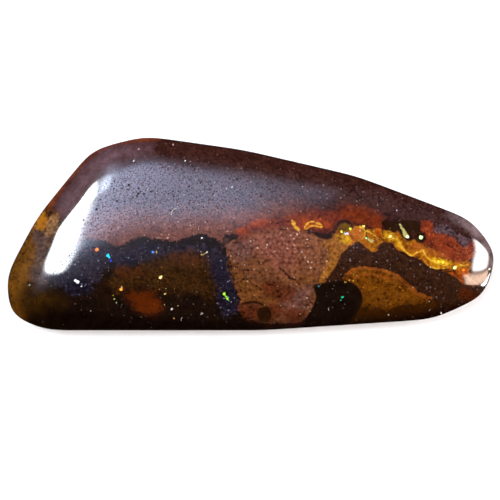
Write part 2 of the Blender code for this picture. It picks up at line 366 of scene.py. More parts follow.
# %% Draw the zones, from the oldest layer to the newest
ZONES = {
    "plum_shade": [[
        (-10.26, 4.18), (-7.24, 5.26), (-3.64, 5.33), (-0.04, 4.75), (3.56, 4.1), (7.16, 3.31),
        (10.76, 2.52), (13.64, 1.58), (15.23, 0.58), (14.72, -0.43), (13.07, 0.58),
        (10.76, 0.86), (9.32, 1.3), (6.95, 1.87), (4.28, 1.58), (1.76, 1.08), (-0.76, 0.58),
        (-2.56, 0.14), (-7.24, -0.14), (-10.84, -0.29), (-11.99, -0.29), (-11.41, 2.09),
    ]],
    "pink_belt": [[
        (-11.99, -0.5), (-11.84, 0.86), (-10.12, 1.51), (-7.24, 1.44), (-3.64, 1.58),
        (-0.4, 1.8), (2.12, 2.02), (3.56, 2.02), (2.84, -0.43), (-0.76, -2.02), (-6.52, -2.59),
        (-11.56, -2.02),
    ]],
    # painted reflection: the hazy mauve shine of the lamps on the left shoulder, laid in as
    # colour
    "painted_shoulder_reflection": [[
        (-13.72, 2.02), (-13.0, 3.17), (-11.56, 5.04), (-10.26, 5.98), (-9.11, 6.26),
        (-7.24, 6.26), (-7.96, 5.83), (-9.11, 5.47), (-10.4, 4.75), (-11.56, 3.74),
        (-12.56, 2.3), (-13.28, 1.3),
    ]],
    # painted reflection: the faint lilac shine of a low lamp along the right rim, laid in as
    # colour
    "painted_rim_reflection": [[
        (14.22, 1.51), (15.23, 1.3), (16.02, 0.86), (16.6, 0.29), (17.1, -0.5), (17.39, -1.3),
        (17.46, -2.16), (17.24, -2.59), (17.03, -1.73), (16.67, -0.86), (16.09, -0.07),
        (15.37, 0.5), (14.65, 0.94),
    ]],
    # painted glow: an orange line along the upper left rim, light shining through the thin
    # edge, laid in as colour
    "painted_edge_glow": [[
        (-16.74, -1.15), (-15.88, 0.86), (-14.94, 2.23), (-13.64, 4.03), (-12.2, 5.83),
        (-10.69, 6.77), (-8.46, 7.2), (-6.52, 7.06), (-6.52, 6.77), (-8.39, 6.62),
        (-10.33, 6.26), (-11.7, 5.33), (-13.07, 3.74), (-14.44, 1.73), (-15.44, 0.0),
        (-16.16, -1.44),
    ]],
    "amber_end": [[
        (-17.75, -6.91), (-17.89, -3.31), (-16.45, 0.29), (-15.44, 1.58), (-14.87, 1.87),
        (-14.29, 1.66), (-13.86, 1.22), (-13.86, 0.5), (-14.44, -0.14), (-14.72, -1.01),
        (-14.94, -2.02), (-15.01, -3.31), (-14.72, -4.46), (-14.29, -5.62), (-13.28, -6.34),
        (-11.56, -6.91), (-13.72, -7.99),
    ]],
    "grey_smoke": [[
        (-15.73, -0.29), (-15.52, 0.22), (-15.08, 0.32), (-14.72, 0.07), (-14.65, -0.5),
        (-14.8, -1.3), (-15.01, -2.02), (-15.3, -2.3), (-15.52, -1.73), (-15.52, -0.86),
    ], [
        (-15.8, -2.59), (-15.44, -2.16), (-14.87, -2.02), (-14.72, -2.74), (-14.58, -3.46),
        (-14.94, -3.82), (-15.44, -3.67), (-15.8, -3.17),
    ]],
    "honey": [[
        (-15.41, 0.5), (-15.3, 1.08), (-15.01, 1.55), (-14.72, 1.48), (-14.58, 1.08),
        (-14.65, 0.58), (-14.94, 0.32), (-15.23, 0.32),
    ]],
    "amber_patch": [[
        (-16.31, -1.15), (-16.16, -0.65), (-15.8, -0.5), (-15.52, -0.86), (-15.52, -1.58),
        (-15.8, -2.09), (-16.09, -2.09),
    ], [
        (-17.24, -4.18), (-17.17, -3.17), (-16.81, -2.3), (-16.45, -2.02), (-16.02, -2.52),
        (-15.95, -3.31), (-16.31, -4.03), (-16.81, -4.54),
    ]],
    "tan_grit": [[
        (-14.72, 0.43), (-14.58, 0.94), (-14.29, 1.22), (-13.93, 1.3), (-13.79, 0.94),
        (-13.93, 0.36), (-14.29, 0.0), (-14.65, -0.07),
    ]],
    "umber": [[
        (-16.6, -4.18), (-15.73, -3.38), (-14.72, -3.53), (-14.0, -4.03), (-13.28, -5.04),
        (-13.72, -7.27), (-15.3, -6.62), (-16.45, -5.62),
    ]],
    "left_dark": [[
        (-14.29, -5.04), (-14.58, -4.18), (-14.44, -3.31), (-13.57, -2.02), (-12.71, -1.15),
        (-11.99, -0.43), (-10.98, -0.43), (-10.26, -0.58), (-9.76, -0.79), (-9.18, -0.79),
        (-8.53, -0.43), (-7.74, -0.14), (-6.88, -0.36), (-5.87, -0.43), (-5.36, -0.5),
        (-4.79, -0.29), (-4.21, -0.11), (-3.42, 0.0), (-2.77, -0.22), (-2.27, -0.5),
        (-2.05, -0.58), (-1.84, -0.07), (-1.48, 0.0), (-1.04, 0.07), (-0.76, -0.07),
        (-0.83, -0.36), (-1.26, -0.58), (-1.55, -0.86), (-1.48, -1.3), (-1.33, -2.02),
        (-1.19, -2.74), (-0.9, -3.6), (-0.76, -4.46), (-0.54, -5.18), (-0.18, -5.9),
        (0.54, -6.48), (0.83, -7.63), (-13.72, -7.63),
    ]],
    "blue_band": [[
        (-13.86, -2.02), (-12.71, -1.3), (-11.84, -0.86), (-10.55, -0.94), (-9.54, -1.15),
        (-8.68, -1.01), (-7.81, -1.15), (-6.8, -0.86), (-5.65, -0.94), (-4.64, -0.86),
        (-3.64, -0.79), (-2.63, -0.94), (-1.91, -1.3), (-1.55, -2.02), (-1.33, -3.02),
        (-1.04, -4.03), (-0.9, -5.04), (-1.19, -5.9), (-1.76, -6.05), (-2.34, -5.04),
        (-2.77, -3.74), (-3.2, -2.45), (-3.78, -1.58), (-4.79, -1.44), (-5.94, -1.66),
        (-7.09, -2.02), (-8.24, -2.3), (-9.4, -2.45), (-10.4, -2.45), (-10.98, -3.31),
        (-11.84, -4.03), (-13.0, -4.18), (-14.0, -3.74), (-14.44, -3.02),
    ]],
    "ink": [[
        (-9.47, -1.58), (-8.96, -1.51), (-8.32, -1.58), (-8.1, -1.87), (-8.68, -2.16),
        (-9.4, -2.09),
    ], [
        (-7.96, -0.86), (-7.24, -0.72), (-6.66, -0.94), (-6.95, -1.22), (-7.67, -1.3),
    ], [
        (-2.77, -2.02), (-2.05, -1.73), (-1.55, -2.3), (-1.26, -3.31), (-0.97, -4.46),
        (-1.12, -5.47), (-1.62, -5.76), (-2.2, -5.18), (-2.63, -4.18), (-2.92, -3.02),
    ], [
        (-13.28, -3.46), (-12.42, -3.02), (-11.56, -3.38), (-11.41, -4.03), (-12.13, -4.39),
        (-13.14, -4.18),
    ]],
    "olive_pool": [[
        (-9.97, -2.3), (-8.82, -2.45), (-7.52, -2.02), (-6.52, -1.66), (-5.36, -1.3),
        (-4.21, -1.22), (-3.49, -1.44), (-3.06, -2.02), (-2.7, -3.17), (-2.48, -4.32),
        (-2.77, -4.9), (-3.78, -4.46), (-5.08, -4.18), (-6.23, -4.32), (-7.38, -3.74),
        (-8.53, -4.03), (-9.54, -4.18), (-10.12, -3.6),
    ]],
    "rust_patch": [[
        (-9.68, -2.45), (-9.11, -2.3), (-8.53, -2.45), (-8.39, -2.95), (-8.82, -3.31),
        (-9.47, -3.1),
    ], [
        (-8.24, -2.45), (-7.81, -2.34), (-7.67, -2.74), (-7.88, -3.17), (-8.17, -3.02),
    ], [
        (-5.94, -1.58), (-5.22, -1.3), (-4.36, -1.26), (-3.42, -1.4), (-3.2, -1.8),
        (-3.78, -2.09), (-4.64, -2.16), (-5.51, -2.02),
    ]],
    "ember": [[
        (-8.96, -4.39), (-8.6, -4.1), (-7.96, -4.18), (-7.24, -4.14), (-6.73, -4.43),
        (-6.52, -4.97), (-6.52, -5.54), (-6.95, -5.87), (-7.52, -5.76), (-8.17, -5.4),
        (-8.68, -4.9),
    ]],
    "sand": [[
        (-1.76, -0.58), (-1.26, -0.5), (-0.76, -0.14), (0.11, 0.22), (1.12, 0.43), (2.12, 0.58),
        (2.99, 0.5), (3.85, 0.22), (4.86, -0.22), (5.87, -0.29), (6.8, -0.14), (7.31, -0.43),
        (7.16, -1.15), (6.66, -1.73), (6.01, -2.59), (5.44, -3.46), (4.72, -3.6), (4.86, -4.18),
        (4.57, -5.04), (4.14, -5.9), (3.28, -6.34), (2.12, -6.41), (0.83, -6.34),
        (-0.04, -6.05), (-0.54, -5.33), (-0.76, -4.46), (-1.04, -3.74), (-1.26, -2.88),
        (-1.4, -2.16), (-1.62, -1.58), (-1.84, -1.01),
    ]],
    "lilac_stone": [[
        (-1.91, -0.65), (-1.33, -0.65), (-0.76, -0.43), (0.11, -0.29), (0.4, -0.86),
        (-0.04, -1.58), (-0.76, -2.02), (-1.33, -1.58), (-1.69, -1.15),
    ], [
        (2.12, -4.46), (2.7, -4.03), (3.56, -3.89), (4.36, -4.1), (4.21, -4.9), (3.71, -5.54),
        (2.84, -5.62), (2.27, -5.18),
    ], [
        (3.78, -3.74), (4.28, -3.53), (4.79, -3.67), (4.57, -4.25), (4.0, -4.25),
    ]],
    "rose_stone": [[
        (0.25, -0.14), (1.69, 0.29), (3.28, 0.14), (4.43, -0.43), (4.86, -1.44), (4.14, -2.45),
        (2.84, -2.74), (1.4, -2.02), (0.4, -1.15),
    ]],
    "salt": [[
        (3.28, -0.43), (4.0, -0.14), (4.86, -0.29), (5.58, -0.72), (5.44, -1.44), (4.86, -2.3),
        (4.36, -3.02), (3.42, -3.24), (2.92, -2.59), (3.42, -1.58),
    ]],
    "tan_stone": [[
        (-1.62, -2.02), (-1.19, -2.16), (-0.76, -2.74), (-0.18, -3.38), (0.83, -3.89),
        (1.84, -4.18), (2.12, -4.75), (1.4, -5.18), (0.54, -5.04), (-0.32, -5.04),
        (-0.76, -4.46), (-1.19, -3.31),
    ], [
        (3.28, -3.24), (4.0, -3.02), (4.72, -3.24), (5.29, -3.1), (6.01, -2.16), (6.59, -1.44),
        (7.16, -0.65), (7.45, -0.86), (6.73, -2.02), (6.01, -2.88), (5.22, -3.6), (4.28, -3.6),
        (3.56, -3.6),
    ]],
    "rust_stone": [[
        (0.83, -3.6), (1.55, -3.31), (2.41, -3.6), (3.28, -4.03), (2.84, -4.75), (1.84, -4.75),
        (1.12, -4.32),
    ], [
        (-0.76, -5.18), (-0.18, -4.97), (0.54, -5.11), (0.68, -5.76), (0.4, -6.26),
        (-0.32, -6.05),
    ], [
        (2.41, -5.62), (3.28, -5.47), (4.0, -5.62), (3.71, -6.19), (2.7, -6.26),
    ], [
        (0.83, -5.33), (1.55, -5.04), (2.27, -5.18), (2.12, -5.9), (1.4, -6.19), (0.97, -5.9),
    ]],
    "scarlet": [[
        (-1.04, 0.22), (-0.61, 0.58), (0.11, 0.94), (1.12, 1.12), (2.41, 1.22), (3.56, 1.58),
        (4.64, 1.55), (5.8, 1.58), (6.95, 1.91), (8.03, 1.8), (8.89, 1.51), (9.4, 1.15),
        (9.61, 0.58), (9.32, 0.0), (8.6, 0.43), (7.74, 0.72), (6.88, 0.86), (6.01, 0.58),
        (5.44, 0.14), (4.72, 0.29), (3.85, 0.22), (2.99, 0.43), (1.84, 0.43), (0.83, 0.29),
        (-0.04, 0.0), (-0.61, -0.29),
    ]],
    "fire_red": [[
        (-1.04, 0.14), (-0.68, 0.4), (-0.18, 0.61), (0.47, 0.86), (1.26, 0.99), (2.12, 1.04),
        (2.7, 0.99), (2.56, 0.82), (1.98, 0.84), (1.12, 0.79), (0.4, 0.62), (-0.18, 0.41),
        (-0.61, 0.07),
    ], [
        (3.42, 0.72), (3.92, 0.97), (4.43, 1.04), (5.15, 1.01), (5.72, 0.86), (5.94, 0.43),
        (5.44, 0.29), (4.86, 0.4), (4.14, 0.32), (3.56, 0.43),
    ]],
    "gold": [[
        (5.87, -0.14), (6.08, 0.22), (6.44, 0.47), (7.16, 0.5), (7.6, 0.61), (8.03, 0.58),
        (8.32, 0.36), (8.75, 0.32), (9.18, 0.36), (9.43, 0.22), (9.76, 0.25), (10.04, 0.22),
        (10.33, 0.0), (10.62, 0.14), (10.91, -0.07), (11.34, -0.43), (11.77, -0.43),
        (12.2, -0.65), (12.64, -0.94), (13.07, -1.22), (13.57, -1.66), (14.22, -1.87),
        (14.87, -2.02), (15.52, -1.87), (15.95, -1.94), (15.88, -2.45), (15.37, -2.66),
        (14.8, -2.59), (14.15, -2.48), (13.43, -2.48), (12.92, -2.38), (12.42, -2.02),
        (12.13, -1.84), (11.7, -1.66), (11.2, -1.4), (10.84, -1.33), (10.48, -1.08),
        (10.12, -0.68), (9.54, -0.65), (9.22, -0.86), (9.14, -1.19), (8.78, -1.3),
        (8.32, -1.04), (7.96, -0.68), (7.6, -0.65), (7.09, -0.94), (6.66, -1.3), (6.23, -2.02),
        (5.72, -2.81), (5.26, -3.46), (4.93, -3.38), (5.44, -2.45), (5.87, -1.58),
        (5.72, -0.72),
    ]],
    "gold_sand": [[
        (5.0, -0.72), (5.51, -0.22), (5.94, 0.07), (6.3, -0.04), (6.73, -0.29), (7.02, -0.65),
        (6.88, -1.08), (6.44, -1.87), (5.94, -2.66), (5.36, -3.46), (4.93, -3.46),
        (5.29, -2.74), (5.65, -1.87), (5.44, -1.15),
    ]],
    "salmon": [[
        (11.48, -0.79), (12.06, -0.65), (12.78, -0.86), (13.5, -1.15), (14.08, -1.37),
        (14.58, -1.73), (14.08, -1.87), (13.36, -1.66), (12.71, -1.37), (11.99, -1.26),
    ], [
        (6.84, -0.83), (7.09, -0.61), (7.45, -0.47), (7.74, -0.5), (7.52, -0.76), (7.16, -0.9),
    ], [
        (7.13, 0.04), (7.24, 0.32), (7.52, 0.5), (7.88, 0.47), (8.1, 0.22), (8.1, -0.14),
        (7.85, -0.43), (7.49, -0.47), (7.2, -0.29),
    ]],
    "crimson": [[
        (12.18, 0.76), (12.42, 0.97), (12.76, 0.9), (13.0, 0.72), (13.14, 0.43), (13.24, 0.09),
        (13.72, 0.03), (14.15, -0.07), (14.47, -0.22), (14.95, -0.53), (15.16, -0.86),
        (15.44, -0.9), (15.85, -0.59), (16.24, -0.43), (16.38, -1.15), (16.16, -1.69),
        (15.57, -1.87), (14.89, -1.98), (14.41, -1.8), (13.93, -1.44), (13.43, -1.12),
        (12.92, -0.9), (12.49, -0.76), (12.35, -0.4), (12.28, 0.14),
    ]],
    "bright_gold": [[
        (12.92, -1.76), (13.36, -1.73), (13.86, -1.84), (14.29, -2.02), (14.36, -2.27),
        (13.86, -2.33), (13.36, -2.22), (13.0, -2.02),
    ], [
        (9.61, 0.07), (9.9, 0.18), (10.26, 0.0), (10.55, -0.29), (10.91, -0.65), (11.05, -1.01),
        (10.69, -0.86), (10.33, -0.58), (9.9, -0.5), (9.61, -0.29),
    ], [
        (6.08, 0.0), (6.37, 0.14), (6.73, -0.04), (7.09, -0.29), (7.16, -0.58), (6.8, -0.65),
        (6.37, -0.47), (6.08, -0.29),
    ]],
    "copper": [[
        (13.72, -2.56), (14.22, -2.59), (14.72, -2.66), (15.23, -2.52), (15.59, -2.59),
        (15.66, -2.88), (15.3, -3.1), (15.3, -3.46), (15.52, -3.82), (15.16, -3.53),
        (14.8, -3.13), (14.36, -2.92), (13.93, -2.74),
    ], [
        (8.89, 0.29), (9.11, 0.36), (9.4, 0.18), (9.36, -0.22), (9.18, -0.32), (9.0, 0.0),
    ], [
        (2.95, 0.99), (3.13, 0.83), (3.28, 0.58), (3.48, 0.3), (3.31, 0.29), (3.17, 0.54),
        (3.01, 0.76),
    ], [
        (3.88, 0.35), (3.96, 0.61), (4.14, 0.79), (4.39, 0.88), (4.68, 0.79), (4.93, 0.74),
        (5.15, 0.61), (5.08, 0.47), (4.79, 0.53), (4.5, 0.6), (4.25, 0.52), (4.07, 0.36),
    ]],
    "nose_glow": [[
        (14.94, -4.14), (15.3, -3.92), (15.8, -3.96), (16.24, -4.18), (16.45, -4.46),
        (16.02, -4.79), (15.44, -4.72), (15.08, -4.5),
    ]],
    "black_lump": [[
        (9.47, 0.86), (9.76, 1.04), (10.12, 0.9), (10.4, 1.08), (10.69, 0.86), (10.91, 0.97),
        (11.34, 0.94), (11.7, 0.97), (12.06, 0.86), (12.2, 0.58), (12.17, 0.22), (11.92, 0.11),
        (11.63, 0.29), (11.48, 0.04), (11.2, 0.25), (10.84, 0.68), (10.62, 0.61), (10.48, 0.36),
        (10.26, 0.11), (10.01, 0.29), (9.76, 0.25), (9.54, 0.43),
    ], [
        (10.55, 0.65), (10.84, 0.79), (11.2, 0.47), (11.52, 0.07), (11.63, -0.36),
        (11.41, -0.54), (11.09, -0.47), (10.84, -0.14), (10.66, 0.22),
    ], [
        (11.84, -0.25), (11.95, 0.07), (12.28, 0.16), (12.6, -0.04), (12.64, -0.38),
        (12.35, -0.65), (12.01, -0.61),
    ], [
        (6.14, 0.47), (6.19, 0.76), (6.44, 0.99), (6.77, 1.05), (7.09, 0.94), (7.27, 0.68),
        (7.31, 0.45), (7.16, 0.53), (7.02, 0.71), (6.77, 0.79), (6.52, 0.76), (6.34, 0.58),
    ], [
        (4.57, 0.11), (4.86, 0.12), (5.29, 0.0), (5.8, 0.04), (5.94, -0.22), (5.51, -0.43),
        (5.0, -0.29), (4.64, -0.07),
    ], [
        (0.5, -5.62), (0.68, -5.33), (1.04, -5.22), (1.4, -5.4), (1.51, -5.83), (1.33, -6.23),
        (0.83, -6.3), (0.54, -5.98),
    ], [
        (-0.61, -5.04), (-0.18, -4.84), (0.4, -4.81), (0.97, -5.01), (0.9, -5.16), (0.4, -5.0),
        (-0.18, -5.04),
    ]],
    "bronze": [[
        (6.26, 0.5), (6.52, 0.72), (6.77, 0.77), (7.02, 0.68), (7.16, 0.47), (7.16, 0.22),
        (6.91, 0.16), (6.59, 0.23), (6.3, 0.29),
    ]],
    "pale_opal": [[
        (10.69, 0.72), (10.84, 0.58), (11.02, 0.32), (11.2, 0.11), (11.3, -0.07),
        (11.27, -0.25), (11.12, -0.25), (11.0, -0.07), (10.91, 0.22), (10.78, 0.47),
    ], [
        (8.39, -0.25), (8.53, -0.36), (8.78, -0.4), (8.93, -0.53), (8.82, -0.62), (8.6, -0.56),
        (8.42, -0.43),
    ]],
    "plum_lump": [[
        (13.21, 0.32), (13.43, 0.58), (13.86, 0.61), (14.29, 0.5), (14.58, 0.25), (14.8, 0.0),
        (14.36, -0.11), (13.86, 0.11), (13.36, 0.14),
    ], [
        (14.8, -0.32), (15.01, -0.07), (15.37, -0.18), (15.73, -0.43), (15.66, -0.76),
        (15.3, -0.86), (15.01, -0.65),
    ]],
    "brown_nose": [[
        (4.28, -6.77), (5.72, -5.62), (7.6, -4.75), (10.76, -4.18), (13.64, -3.74),
        (15.23, -3.6), (16.24, -3.89), (17.1, -3.46), (17.96, -4.03), (16.52, -6.05),
        (13.64, -7.34),
    ]],
    "arch": [[
        (4.86, -4.18), (4.43, -3.67), (5.26, -3.53), (5.72, -2.88), (6.23, -2.09), (6.55, -1.4),
        (7.02, -0.97), (7.45, -0.68), (7.74, -0.56), (7.96, -0.72), (8.35, -1.08),
        (8.78, -1.32), (9.17, -1.19), (9.25, -0.83), (9.54, -0.65), (10.12, -0.65),
        (10.33, -0.97), (10.58, -1.15), (10.91, -1.32), (11.2, -1.58), (11.48, -1.87),
        (11.92, -1.91), (12.28, -2.05), (12.64, -2.34), (13.0, -2.51), (13.5, -2.59),
        (14.08, -2.74), (14.51, -3.02), (14.94, -3.38), (15.37, -3.67), (15.8, -3.89),
        (16.38, -3.89), (16.81, -3.67), (17.1, -3.38), (17.53, -3.31), (17.1, -4.1),
        (16.52, -4.61), (15.8, -4.9), (14.8, -5.0), (13.93, -4.9), (12.92, -4.68),
        (12.2, -4.32), (11.48, -3.74), (10.48, -3.1), (9.32, -2.59), (8.32, -2.45),
        (7.45, -2.59), (6.73, -3.02), (6.01, -3.6),
    ]],
    "rim_line": [[
        (6.59, -3.24), (6.95, -2.74), (7.6, -2.41), (8.39, -2.34), (9.32, -2.48),
        (10.48, -2.88), (11.34, -3.53), (12.2, -4.25), (13.0, -4.54), (12.92, -4.72),
        (12.06, -4.46), (11.2, -3.74), (10.33, -3.06), (9.32, -2.66), (8.39, -2.52),
        (7.67, -2.59), (7.09, -2.92),
    ], [
        (7.16, -3.31), (7.88, -2.88), (8.89, -2.84), (9.9, -3.1), (10.76, -3.67),
        (10.19, -3.46), (9.32, -3.13), (8.46, -3.02), (7.74, -3.13),
    ]],
    # brown stone under the crescent, painted darker towards the bottom as shade
    "brown_with_painted_shade": [[
        (6.73, -3.24), (7.16, -2.81), (7.88, -2.52), (8.75, -2.52), (9.76, -2.81),
        (10.62, -3.24), (11.34, -3.82), (12.06, -4.39), (13.07, -4.75), (13.36, -5.33),
        (11.77, -5.83), (9.9, -6.12), (8.32, -6.26), (7.16, -6.26), (7.74, -5.18),
        (7.88, -4.32), (7.45, -3.6),
    ]],
    "crescent": [[
        (6.73, -3.24), (7.16, -2.81), (7.88, -2.52), (8.75, -2.52), (9.76, -2.81),
        (10.62, -3.24), (11.34, -3.82), (12.06, -4.39), (12.92, -4.68), (12.2, -4.9),
        (11.05, -5.04), (9.9, -5.18), (8.89, -5.18), (8.1, -5.04), (7.96, -4.46), (7.52, -3.67),
    ]],
    "cave": [[
        (4.86, -3.6), (5.44, -3.53), (6.16, -3.38), (6.88, -3.38), (7.45, -3.6), (7.88, -4.1),
        (8.03, -4.75), (7.74, -5.54), (7.16, -6.19), (5.72, -6.77), (3.85, -6.7), (4.0, -6.05),
        (4.43, -5.33), (4.72, -4.61), (4.57, -4.03),
    ]],
    "low_shade": [[
        (-16.16, -6.05), (-15.16, -5.62), (-13.72, -5.33), (-10.84, -5.62), (-6.52, -6.05),
        (-0.76, -6.19), (3.56, -6.34), (7.88, -6.05), (12.2, -5.62), (14.36, -5.18),
        (15.8, -5.11), (15.08, -6.91), (3.56, -7.63), (-13.72, -7.99),
    ]],
}
for name, outlines in ZONES.items():
    store_zone(name, outlines)
print("zones:", len(ZONES))

# %% [markdown]
# ## Veins, cracks and sparks
#
# Fine gold veins and dark cracks are lines. They are stored in the same way, as the
# distance to a drawn line, with half of the vein's own width taken off, so that the
# number is positive inside the vein. A spark is a dot with a colour of its own. A few
# white and pale blue sparks are painted glints.

# %% Draw the veins and the cracks
VEINS = {
    "fire_vein": (
        (0.043, (
            (2.95, 0.99), (3.13, 0.83), (3.28, 0.58), (3.48, 0.3), (3.31, 0.29), (3.17, 0.54),
            (3.01, 0.76), (2.95, 0.99),
        )),
        (0.043, (
            (3.88, 0.35), (3.96, 0.61), (4.14, 0.79), (4.39, 0.88), (4.68, 0.79), (4.93, 0.74),
            (5.15, 0.61), (5.08, 0.47), (4.79, 0.53), (4.5, 0.6), (4.25, 0.52), (4.07, 0.36),
        )),
        (0.043, ((8.37, 0.22), (8.73, 0.01), (9.02, -0.19), (9.2, -0.5))),
        (0.036, ((7.85, 0.47), (8.06, 0.4), (8.21, 0.18), (8.21, -0.11), (8.03, -0.36))),
        (0.05, (
            (10.69, -0.9), (10.94, -1.08), (11.17, -1.28), (11.41, -1.48), (11.66, -1.56),
            (11.84, -1.37), (12.1, -1.33), (12.35, -1.14), (12.49, -1.37), (12.62, -1.62),
            (12.89, -1.84), (13.17, -1.97), (13.64, -2.17), (14.06, -2.3),
        )),
        (0.036, ((10.37, -0.29), (10.62, -0.5), (10.8, -0.79), (11.05, -1.08))),
        (0.065, ((13.21, -1.91), (13.5, -1.98), (13.86, -2.02), (14.15, -2.16))),
        (0.032, (
            (12.35, -1.76), (12.6, -2.05), (12.82, -2.29), (13.14, -2.43), (13.5, -2.47),
            (13.93, -2.48),
        )),
        (0.032, ((14.8, -2.34), (15.08, -2.23), (15.37, -2.3), (15.66, -2.16))),
    ),
    "crack": (
        (0.043, (
            (-1.58, -1.91), (-1.4, -2.02), (-1.22, -2.27), (-0.97, -2.38), (-0.76, -2.56),
            (-0.4, -2.55), (-0.11, -2.62),
        )),
        (0.04, ((-1.37, -2.9), (-1.22, -2.76), (-1.04, -2.85), (-0.9, -2.78))),
        (0.043, (
            (-1.04, -3.67), (-0.86, -3.42), (-0.65, -3.35), (-0.48, -3.2), (-0.25, -3.27),
            (0.0, -3.38), (0.14, -3.64), (0.43, -3.77), (0.76, -4.03),
        )),
        (0.029, ((-0.18, -3.2), (-0.3, -2.95), (-0.5, -2.84), (-0.58, -2.63))),
        (0.043, (
            (2.12, -2.51), (2.38, -2.66), (2.52, -2.85), (2.74, -3.0), (2.87, -3.21),
            (3.18, -3.26), (3.38, -3.47), (3.56, -3.6),
        )),
        (0.029, ((0.83, -3.24), (1.08, -3.38), (1.22, -3.62), (1.55, -3.64), (1.84, -3.79))),
        (0.058, ((1.84, 0.72), (2.2, 0.91), (2.56, 0.88), (2.88, 0.97))),
        (0.05, ((4.0, 0.27), (4.28, 0.23), (4.57, 0.1), (4.86, -0.04))),
        (0.036, ((9.47, 0.86), (9.49, 0.29), (9.45, -0.22), (9.54, -0.58))),
        (0.043, ((8.24, 0.58), (8.32, 0.29), (8.29, -0.07), (8.34, -0.29))),
        (0.029, ((7.31, 0.5), (7.74, 0.67), (8.17, 0.65))),
        (0.05, ((10.12, -0.5), (10.21, -0.72), (10.15, -0.94))),
        (0.036, ((11.02, -0.86), (11.12, -1.12), (11.27, -1.3))),
        (0.05, (
            (13.64, -2.59), (13.93, -2.56), (14.22, -2.69), (14.51, -2.71), (14.8, -2.88),
            (14.98, -3.14), (15.16, -3.24),
        )),
        (0.043, (
            (10.84, -1.3), (11.16, -1.48), (11.48, -1.73), (11.84, -1.73), (12.13, -2.02),
        )),
        (0.029, (
            (14.08, -0.65), (14.29, -0.88), (14.55, -0.96), (14.72, -1.22), (15.16, -1.3),
        )),
        (0.029, ((12.49, -0.76), (13.0, -0.97), (13.5, -1.26))),
        (0.058, ((14.62, -2.63), (14.65, -2.77))),
    ),
    "pale_vein": (
        (0.05, ((15.8, -3.17), (16.09, -3.46), (16.45, -3.74))),
        (0.036, ((16.24, -3.02), (16.45, -3.38), (16.67, -3.67))),
        (0.043, ((15.23, -2.74), (15.66, -3.17), (16.02, -3.82))),
    ),
}
for name, lines in VEINS.items():
    depths = [
        half_width - line_distance(map_places, drawn_curve(line, closed=False))
        for half_width, line in lines
    ]
    store(name, np.max(depths, axis=0))
print("veins:", {name: len(lines) for name, lines in VEINS.items()})

